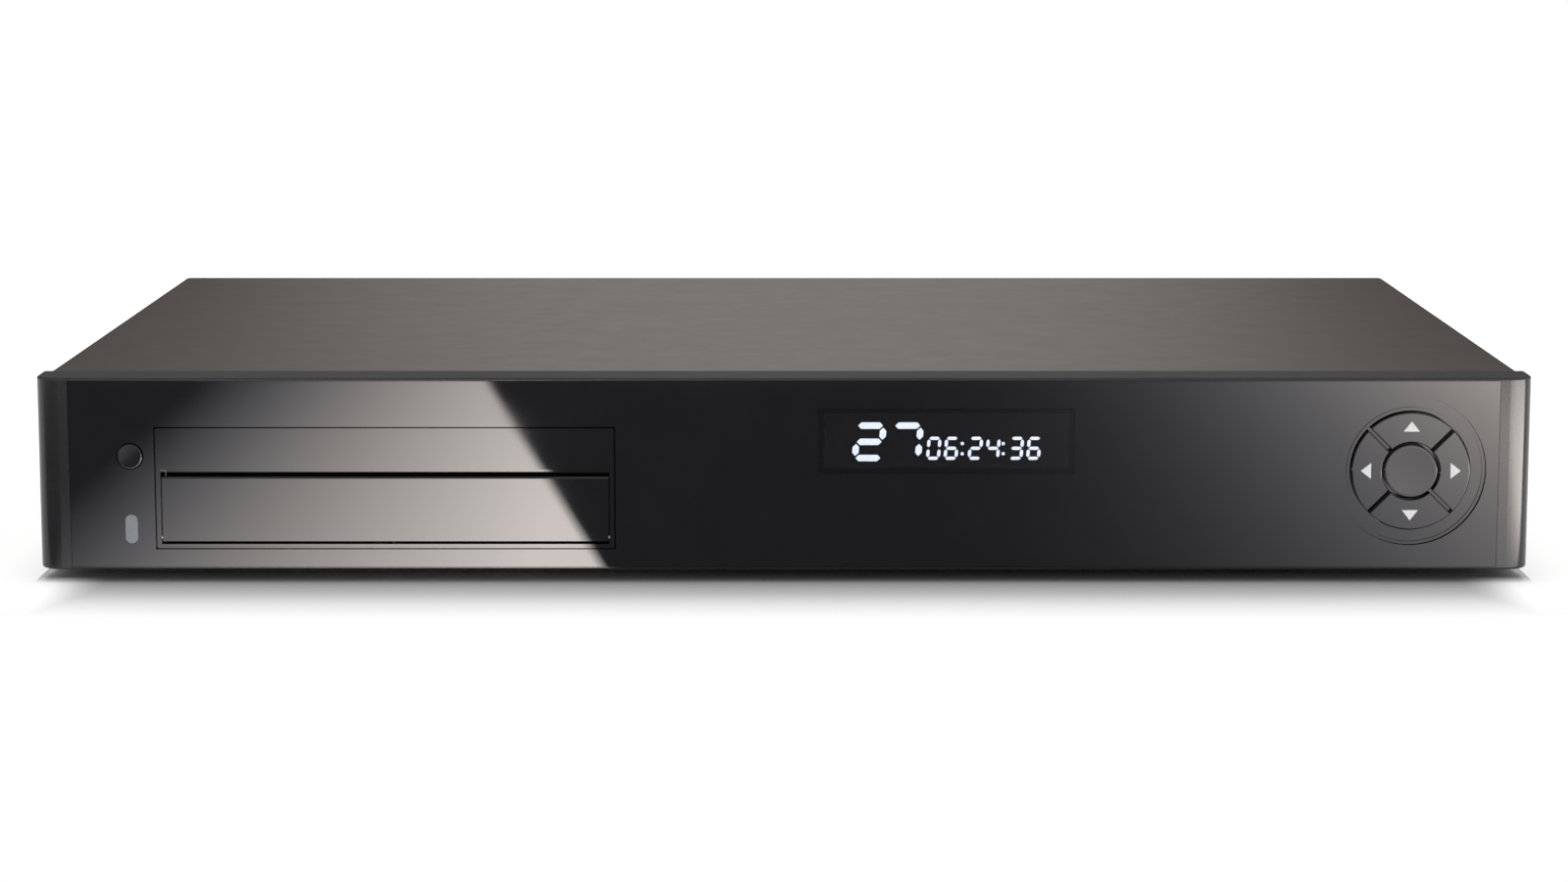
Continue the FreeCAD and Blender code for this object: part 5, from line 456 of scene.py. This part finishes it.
def finishes():
    """One look for each CAD node."""
    gloss = glossy("gloss_black", BLACK)
    keys = glossy("key_black", shade(BLACK, 1.5)[:3], roughness=0.06)
    matte = moulded("matte_black", SATIN_BLACK, 0.55)
    coarse = moulded("coarse_black", SATIN_BLACK, 0.62, grain=0.05 * MM, scale=700.0)
    powder = coated("powder_black", (0.014, 0.014, 0.0145), 0.58, peel=0.03 * MM)
    frame_black = coated("frame_black", FRAME_BLACK, 0.6, peel=0.02 * MM)
    zinc = plated("zinc_plate", ZINC, 0.3)
    spring = plated("spring_steel", STEEL, 0.2)
    green = board("board_green", GREEN)
    groups = (
        (gloss, ("front_panel", "tray_bezel", "tray_flap", "nav_bezel")),
        (keys, ("key_up", "key_down", "key_left", "key_right", "key_ok", "power_button")),
        (matte, ("rocker_frame", "power_rocker", "power_inlet", "av_jacks",
                 "backplane_socket", "tact_switches", "fan_rotor", "fan_frame")),
        (coarse, ("feet", "tray_body")),
        (powder, ("chassis_base", "rear_panel")),
        (frame_black, ("front_frame", "bay_cage")),
        (zinc, ("inner_screws", "drive_screws")),
        (spring, ("tray_detents", "flap_pin", "flap_spring")),
        (green, ("front_boards", "backplane_board", "main_board", "drive_board")),
    )
    made = {node: look for look, nodes in groups for node in nodes}
    made.update({
        "front_fascia": fascia_satin(),
        "top_cover": coated("cover_bronze", COVER_BROWN, 0.50, peel=0.010 * MM),
        "case_screws": plated("black_oxide", (0.05, 0.05, 0.052), 0.4),
        "foot_pads": moulded("rubber", (0.03, 0.03, 0.031), 0.8, grain=0.03 * MM),
        "display_window": smoked_window(),
        "display_tube": display_glass(),
        "status_light": milky_light(),
        "guide_rails": moulded("acetal_black", FRAME_BLACK, 0.45, grain=0.01 * MM),
        "standoffs": plated("brass", BRASS, 0.25),
        "board_chips": epoxy_chips(),
        "soc_heatsink": anodised("sink_black", (0.05, 0.05, 0.055)),
        "psu_heatsinks": anodised("sink_plain", ALLOY),
        "capacitors": capacitor_sleeves(),
        "psu_board": board("board_tan", TAN),
        "psu_transformer": transformer(),
        "inlet_pins": plated("nickel", NICKEL, 0.2),
        "network_jack": port_shell("network_shell", "network_jack"),
        "usb_ports": port_shell("usb_shell", "usb_ports"),
        "hdmi_port": port_shell("hdmi_shell", "hdmi_port"),
        "jack_sleeves": plated("gold_plate", GOLD, 0.18),
        "jack_inserts": jack_colours(),
        "front_ribbon": flat_cable(),
        "supply_leads": lead_colours(),
        "drive_casting": die_cast(),
        "drive_lid": brushed("drive_lid_steel", STEEL),
        "drive_platters": platter_mirror(),
        "drive_head_arm": anodised("arm_alloy", ALLOY),
    })
    return made


def dress_nodes():
    looks = finishes()
    for name, node in NODES.items():
        for slot in node.material_slots:
            slot.material = looks[name].material


# ------------------------------------------------------------------ studio
AMBIENT = 0.46             # the sky's share of the light on an upward face
LAMPS = (                  # name, place, size, watts
    ("key", (0.0, 0.30, 1.05), (1.1, 0.95), 8.0),
    ("rim", (0.0, 0.42, 0.22), (0.36, 0.10), 0.14),
)
AIM = Vector((0.0, 0.0, 0.05))
FLOOR_SIZE = 40.0
FLOOR_PAINT = 0.93
# How far the paper is lifted to white where it is only seen. Stops are (place in metres, lift). Near the
# player the lift is painted light: it sets how the shadow fades, and beside the ends it pales the
# shadow.
FLOOR_LIFT = (             # by distance from the player
    (0.0, 0.0), (0.014, 0.0), (0.022, 0.08), (0.031, 0.16), (0.040, 0.22), (0.051, 0.25), (0.10, 0.23),
    (0.30, 0.28), (0.60, 0.34), (0.90, 0.42), (1.10, 0.48), (1.46, 0.54), (2.1, 0.58), (4.4, 0.60),
)
# Painted light: this lift pales the shadow beside the player's ends.
END_LIFT = (               # beside its ends, by distance past them
    (-0.0205, 0.0), (-0.015, 0.14), (-0.010, 0.36), (-0.006, 0.50), (0.001, 0.45), (0.013, 0.43),
    (0.020, 0.37), (0.034, 0.26), (0.051, 0.17), (0.085, 0.09), (0.20, 0.0),
)
END_FADE = ((-0.010, 0.0), (0.0, 1.0), (0.010, 1.0), (0.080, 0.0))     # past its front and back


def seen_rays(tree):
    """1 for what the lens sees directly, in a mirror or through glass."""
    path = tree.nodes.new("ShaderNodeLightPath")
    total = path.outputs["Is Camera Ray"]
    for name in ("Is Glossy Ray", "Is Transmission Ray"):
        add = tree.nodes.new("ShaderNodeMath")
        add.operation = "MAXIMUM"
        tree.links.new(total, add.inputs[0])
        tree.links.new(path.outputs[name], add.inputs[1])
        total = add.outputs[0]
    return total


def make_world():
    world = bpy.data.worlds.new("studio")
    world.use_nodes = True
    bpy.context.scene.world = world
    tree = world.node_tree
    background = tree.nodes["Background"]
    background.inputs["Color"].default_value = (1, 1, 1, 1)
    level = tree.nodes.new("ShaderNodeMapRange")
    level.inputs["To Min"].default_value = AMBIENT
    level.inputs["To Max"].default_value = 1.0
    tree.links.new(seen_rays(tree), level.inputs["Value"])
    tree.links.new(level.outputs["Result"], background.inputs["Strength"])


def make_lamps():
    for name, place, size, watts in LAMPS:
        data = bpy.data.lights.new(name, "AREA")
        data.shape = "RECTANGLE"
        data.size, data.size_y = size
        data.energy = watts
        lamp = bpy.data.objects.new(name, data)
        lamp.location = place
        lamp.rotation_euler = (AIM - Vector(place)).to_track_quat("-Z", "Y").to_euler()
        lamp.visible_camera = False
        bpy.context.scene.collection.objects.link(lamp)


def sheet(name, corners, material):
    """A flat sheet; its corners run along the first side, then along the one opposite."""
    mesh = bpy.data.meshes.new(name)
    mesh.from_pydata(corners, [], [(0, 1, 3, 2)])
    mesh.materials.append(material)
    piece = bpy.data.objects.new(name, mesh)
    bpy.context.scene.collection.objects.link(piece)
    return piece


def make_floor():
    """White paper, lifted to plain white where it is only seen; the player's shadow stays on it, with
    its fade set by painted light from the lift and paled by painted light beside its ends.
    """
    look = Look("floor", roughness=1.0)
    look.shader.inputs["Specular IOR Level"].default_value = 0.0
    paint = (FLOOR_PAINT,) * 3
    look.colour(look.mix(look.noise(900.0), shade(paint, 0.995), shade(paint, 1.005)))
    low, high = cad_box
    past = [look.math("SUBTRACT", look.math("ABSOLUTE", value), (b - a) / 2)
            for value, a, b in zip(look.axes()[:2], low, high)]
    away = [look.math("POWER", look.math("MAXIMUM", value, 0.0), 2.0) for value in past]
    distance = look.math("SQRT", look.math("ADD", *away))
    beside = look.math("MULTIPLY", look.math("GREATER_THAN", past[0], 0.0),
                       look.math("LESS_THAN", past[1], 0.0))
    share = look.math("MAXIMUM", look.ramp(past[1], END_FADE), beside)
    # Painted light beside the ends, which pales the shadow there.
    ends = look.math("MULTIPLY", look.ramp(past[0], END_LIFT), share)
    lift = look.math("MAXIMUM", look.ramp(distance, FLOOR_LIFT), ends)
    look.glow((1, 1, 1, 1), look.math("MULTIPLY", lift, seen_rays(look.tree)))
    half = FLOOR_SIZE / 2
    sheet("floor", [(x, y, 0.0) for y in (-half, half) for x in (-half, half)], look.material)


# A card on the floor in front of the player, seen in shiny faces alone. It is lit on the left of a
# straight slanted edge and falls off to the left, is dark beyond the edge, and glows softly towards
# its right side.
CARD_LIFT = 0.6 * MM
CARD_X = (-0.60, 0.70)
CARD_Y = (-0.60, -0.150)   # far and near side
CARD_DARK = 0.30
EDGE_FAR = -0.1237         # x of the slanted edge at the far and near side
EDGE_NEAR = -0.0517
EDGE_SOFT = 2.0 * MM
LEFT_SPAN = (-0.237, -0.075)
LEFT_POWER = 1.3
LEFT_LEVEL = 17.2
RIGHT_SPAN = (0.02, 0.33)
RIGHT_POWER = 3.0
RIGHT_LEVEL = 13.9
COOL = (0.93, 0.93, 1.0, 1.0)          # the card's colour where it is dim, and where it is bright
WARM = (1.0, 0.925, 0.885, 1.0)
TINT_SPAN = (0.5, 7.0)
# A card that stands behind, which the cover shows softly.
BACK_PLACE = 0.34
BACK_HALF = 0.80
BACK_TOP = 1.0
BACK_LEVEL = 0.80
BACK_FALL = (              # by distance from its middle
    (0.0, 1.0), (0.10, 0.96), (0.16, 0.75), (0.20, 0.46), (0.24, 0.15), (0.28, 0.02), (0.60, 0.02),
)


def only_in_gloss(card):
    """A reflector: it lights nothing and is seen in shiny faces alone."""
    card.visible_camera = False
    card.visible_diffuse = False
    card.visible_shadow = False
    card.visible_transmission = False
    card.visible_volume_scatter = False


def card_material():
    look = Look("card")
    look.tree.nodes.remove(look.shader)
    x, y, _ = look.axes()
    edge = look.span(y, EDGE_FAR, EDGE_NEAR, *CARD_Y)
    lit = look.span(look.math("SUBTRACT", edge, x), 0.0, 1.0, -EDGE_SOFT, EDGE_SOFT)
    rise = look.math("POWER", look.span(x, 0.0, 1.0, *LEFT_SPAN), LEFT_POWER)
    left = look.math("MULTIPLY", look.math("MULTIPLY", lit, rise), LEFT_LEVEL)
    glow = look.math("POWER", look.span(x, 0.0, 1.0, *RIGHT_SPAN), RIGHT_POWER)
    right = look.math("MULTIPLY", glow, RIGHT_LEVEL)
    total = look.math("ADD", look.math("ADD", left, right), CARD_DARK)
    emission = look.node("ShaderNodeEmission")
    look.feed(emission.inputs["Strength"], total)
    look.feed(emission.inputs["Color"], look.mix(look.span(total, 0.0, 1.0, *TINT_SPAN), COOL, WARM))
    look.feed(look.tree.nodes["Material Output"].inputs["Surface"], emission.outputs[0])
    return look.material


def make_card():
    points = [(x, y, CARD_LIFT) for y in CARD_Y for x in CARD_X]
    only_in_gloss(sheet("card", points, card_material()))


def back_card_material():
    look = Look("back_card")
    look.tree.nodes.remove(look.shader)
    away = look.math("ABSOLUTE", look.axes()[0])
    emission = look.node("ShaderNodeEmission")
    look.feed(emission.inputs["Strength"], look.math("MULTIPLY", look.ramp(away, BACK_FALL), BACK_LEVEL))
    look.feed(look.tree.nodes["Material Output"].inputs["Surface"], emission.outputs[0])
    return look.material


def make_back_card():
    points = [(x, BACK_PLACE, z) for z in (0.0, BACK_TOP) for x in (-BACK_HALF, BACK_HALF)]
    only_in_gloss(sheet("back_card", points, back_card_material()))


# ------------------------------------------------------------------ small pieces
def solid(name, builder, look, body):
    """A mesh piece from a function that fills a bmesh; it rides on a body."""
    made = bmesh.new()
    builder(made)
    bmesh.ops.recalc_face_normals(made, faces=made.faces)
    mesh = bpy.data.meshes.new(name)
    made.to_mesh(mesh)
    made.free()
    mesh.materials.append(look.material)
    piece = bpy.data.objects.new(name, mesh)
    bpy.context.scene.collection.objects.link(piece)
    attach(piece, body)


def add_prism(made, outline, run):
    """A closed prism: outline points in order, pushed along run."""
    base = [made.verts.new(p) for p in outline]
    top = [made.verts.new(Vector(p) + run) for p in outline]
    made.faces.new(base)
    made.faces.new(list(reversed(top)))
    for i in range(len(base)):
        j = (i + 1) % len(base)
        made.faces.new((base[i], top[i], top[j], base[j]))


DIGIT_BARS = {0: "abcdef", 2: "abged", 3: "abgcd", 4: "fgbc", 6: "afgedc", 7: "abc"}
BAR_PLACES = {             # share of the digit's width and height, and whether the bar lies level
    "a": (0.5, 1.0, True), "b": (1.0, 0.75, False), "c": (1.0, 0.25, False), "d": (0.5, 0.0, True),
    "e": (0.0, 0.25, False), "f": (0.0, 0.75, False), "g": (0.5, 0.5, True),
}
LARGE = (35.0, 9.4, 11.4, 0.20)        # foot, width and height in mm, and the bars' share of the width
SMALL = (35.4, 4.1, 6.8, 0.23)
DISPLAY_TEXT = (                       # digit, left side in mm, form
    (2, 19.6, LARGE), (7, 30.4, LARGE),
    (0, 41.2, SMALL), (6, 46.3, SMALL), (2, 53.3, SMALL),
    (4, 58.4, SMALL), (3, 65.2, SMALL), (6, 70.3, SMALL),
)
COLONS = ((51.8, 37.2), (51.8, 40.2), (63.7, 37.2), (63.7, 40.2))
COLON_RADIUS = 0.5 * MM
COLON_SIDES = 12
BAR_GAP = 1.15                         # how far a bar stops short of its corner, in half strokes
DIGIT_SLANT = 0.08
BAR_DEPTH = 0.12 * MM


def digit_bars(made, y):
    for digit, left, (*places, stroke) in DISPLAY_TEXT:
        x0, foot, width, height = (place * MM for place in (left, *places))
        half = width * stroke / 2
        for bar in DIGIT_BARS[digit]:
            across, up, level = BAR_PLACES[bar]
            cx = x0 + half + across * (width - 2 * half)
            cz = foot + half + up * (height - 2 * half)
            reach = (width if level else height / 2) / 2 - half * BAR_GAP
            ends = [(-reach, 0), (-reach + half, half), (reach - half, half), (reach, 0),
                    (reach - half, -half), (-reach + half, -half)]
            points = []
            for along, off in ends:
                x, z = (cx + along, cz + off) if level else (cx + off, cz + along)
                points.append((x + (z - foot) * DIGIT_SLANT, y, z))
            add_prism(made, points, Vector((0, -BAR_DEPTH, 0)))
    for x, z in COLONS:
        dot = [(x * MM + COLON_RADIUS * math.cos(a), y, z * MM + COLON_RADIUS * math.sin(a))
               for a in [math.tau * i / COLON_SIDES for i in range(COLON_SIDES)]]
        add_prism(made, dot, Vector((0, -BAR_DEPTH, 0)))


def lit_look(name, colour, strength):
    look = Look(name, roughness=0.5)
    speck = look.noise(2400.0)
    look.colour(look.mix(speck, shade(colour, 0.4), shade(colour, 0.5)))
    look.glow(shade(colour, 1.0), look.span(speck, strength * 0.9, strength * 1.1, 0.3, 0.7))
    look.bump(speck, 0.01 * MM)
    return look


DISPLAY_GAP = 0.02 * MM                # from the tube's face to the digits


def make_display():
    """Generic numbers that stand just before the display tube."""
    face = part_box("display_tube")[0].y - DISPLAY_GAP
    lit = lit_look("display_lit", (0.86, 0.93, 1.0), 9.0)
    solid("display_digits", lambda made: digit_bars(made, face), lit, "case")


ARROW_HALF = 2.5 * MM
ARROW_REACH = 12.75 * MM               # from the centre key's middle
ARROW_SINK = 0.25 * MM                 # from the key's face to the sunk arrow's bottom
ARROW = ((-0.94, -0.50), (0.94, -0.50), (0.0, 0.70))
MARK_DEPTH = 0.16 * MM


def make_arrow_marks():
    """Light-coloured inlays at the bottom of the sunk arrows on the four direction keys; they carry a
    painted glow.
    """
    glowing_ink = moulded("arrow_ink_painted_glow", (0.74, 0.74, 0.75), 0.45, grain=0.004 * MM)
    # Painted glow: the arrow ink gives off light of its own, so it shows brighter than the lamps make
    # it.
    glowing_ink.glow((1.0, 1.0, 1.0, 1.0), 0.23)
    nav_low, nav_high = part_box("nav_bezel")
    centre = (nav_low + nav_high) / 2
    for name, turn in (("key_up", 0), ("key_right", -90), ("key_down", 180), ("key_left", 90)):
        spin = Matrix.Rotation(math.radians(turn), 4, Vector((0, -1, 0)))
        place = Vector((centre.x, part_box(name)[0].y + ARROW_SINK, centre.z))
        outline = [place + spin @ Vector((x * ARROW_HALF, 0, ARROW_REACH + z * ARROW_HALF))
                   for x, z in ARROW]
        solid(name + "_mark", lambda made: add_prism(made, outline, Vector((0, -MARK_DEPTH, 0))),
              glowing_ink, name)


# Contacts in the ports, in mm. Inner and outer end are distances from the mouth.
USB_ROW = {"width": 10.4, "count": 4, "share": 0.42, "inner": 9.5, "outer": 1.6, "thick": 0.11}
USB_TONGUES = (1.3, 1.1)               # lower one above the shell's foot, upper one above its middle
USB_UNDER = 3.0
USB_SINK = 0.12
HDMI_ROW = {"width": 9.4, "count": 10, "share": 0.5, "inner": 8.0, "outer": 2.0, "thick": 0.08}
HDMI_HEIGHT = 3.82
NET_COUNT = 8
NET_PITCH = 1.02
NET_HALF = 0.22
NET_DROP = 1.75                        # from the shell's top to the outer end of the springs
NET_PROFILE = ((3.0, 0.0), (11.0, -3.6), (11.3, -3.3), (3.4, 0.1))     # from the mouth, and up


def flat_row(made, low, high, z, row):
    """A row of flat contacts in the middle of a port."""
    pitch = row["width"] * MM / row["count"]
    half = pitch * row["share"] / 2
    y0, y1 = high.y - row["inner"] * MM, high.y - row["outer"] * MM
    for i in range(row["count"]):
        x = (low.x + high.x) / 2 + (i - (row["count"] - 1) / 2) * pitch
        add_prism(made, [(x - half, y0, z), (x + half, y0, z), (x + half, y1, z), (x - half, y1, z)],
                  Vector((0, 0, row["thick"] * MM)))


def usb_contacts(made, low, high):
    for foot, rise in zip((low.z, (low.z + high.z) / 2), USB_TONGUES):
        flat_row(made, low, high, foot + rise * MM + USB_UNDER * MM - USB_SINK * MM, USB_ROW)


def hdmi_contacts(made, low, high):
    flat_row(made, low, high, low.z + HDMI_HEIGHT * MM, HDMI_ROW)


def network_contacts(made, low, high):
    top = high.z - NET_DROP * MM
    for i in range(NET_COUNT):
        x = (low.x + high.x) / 2 + (i - (NET_COUNT - 1) / 2) * NET_PITCH * MM - NET_HALF * MM
        add_prism(made, [(x, high.y - deep * MM, top + up * MM) for deep, up in NET_PROFILE],
                  Vector((2 * NET_HALF * MM, 0, 0)))


def make_contacts():
    gold = plated("contact_gold", GOLD, 0.2)
    for name, node, build in (("usb_contacts", "usb_ports", usb_contacts),
                              ("network_contacts", "network_jack", network_contacts),
                              ("hdmi_contacts", "hdmi_port", hdmi_contacts)):
        solid(name, lambda made: build(made, *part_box(node)), gold, "case")


LABEL_SIDE = 16.0 * MM                 # from the lid's sides to the label
LABEL_FROM = 30.0 * MM                 # its ends and its band, from the lid's front
LABEL_TO = 104.0 * MM
LABEL_BAND = 96.0 * MM
LABEL_CORNER = 3.0 * MM
LABEL_THICK = 0.09 * MM
CORNER_STEPS = 6


def make_drive_label():
    """A bare paper label on the drive's lid, with rounded corners and a plain band."""
    low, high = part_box("drive_lid")
    look = Look("label_paper", roughness=0.6)
    band = look.math("GREATER_THAN", look.axes()[1], low.y + LABEL_BAND)
    paper = look.mix(look.noise(800.0), (0.62, 0.62, 0.60, 1), (0.70, 0.70, 0.68, 1))
    look.colour(look.mix(band, paper, (0.16, 0.20, 0.26, 1)))
    look.rough(look.span(look.noise(300.0), 0.42, 0.58))
    look.bump(look.noise(900.0), 0.008 * MM)
    x0, x1 = low.x + LABEL_SIDE + LABEL_CORNER, high.x - LABEL_SIDE - LABEL_CORNER
    y0, y1 = low.y + LABEL_FROM + LABEL_CORNER, low.y + LABEL_TO - LABEL_CORNER
    outline = []
    for cx, cy, start in ((x1, y1, 0), (x0, y1, 90), (x0, y0, 180), (x1, y0, 270)):
        for i in range(CORNER_STEPS + 1):
            a = math.radians(start + i * 90 / CORNER_STEPS)
            outline.append((cx + LABEL_CORNER * math.cos(a), cy + LABEL_CORNER * math.sin(a), high.z))
    solid("drive_label", lambda made: add_prism(made, outline, Vector((0, 0, LABEL_THICK))),
          look, "tray")


# ------------------------------------------------------------------ scene
bpy.context.scene.view_settings.view_transform = "Standard"
make_camera()
make_world()
make_lamps()
make_floor()
make_card()
make_back_card()
dress_nodes()
make_display()
make_arrow_marks()
make_contacts()
make_drive_label()
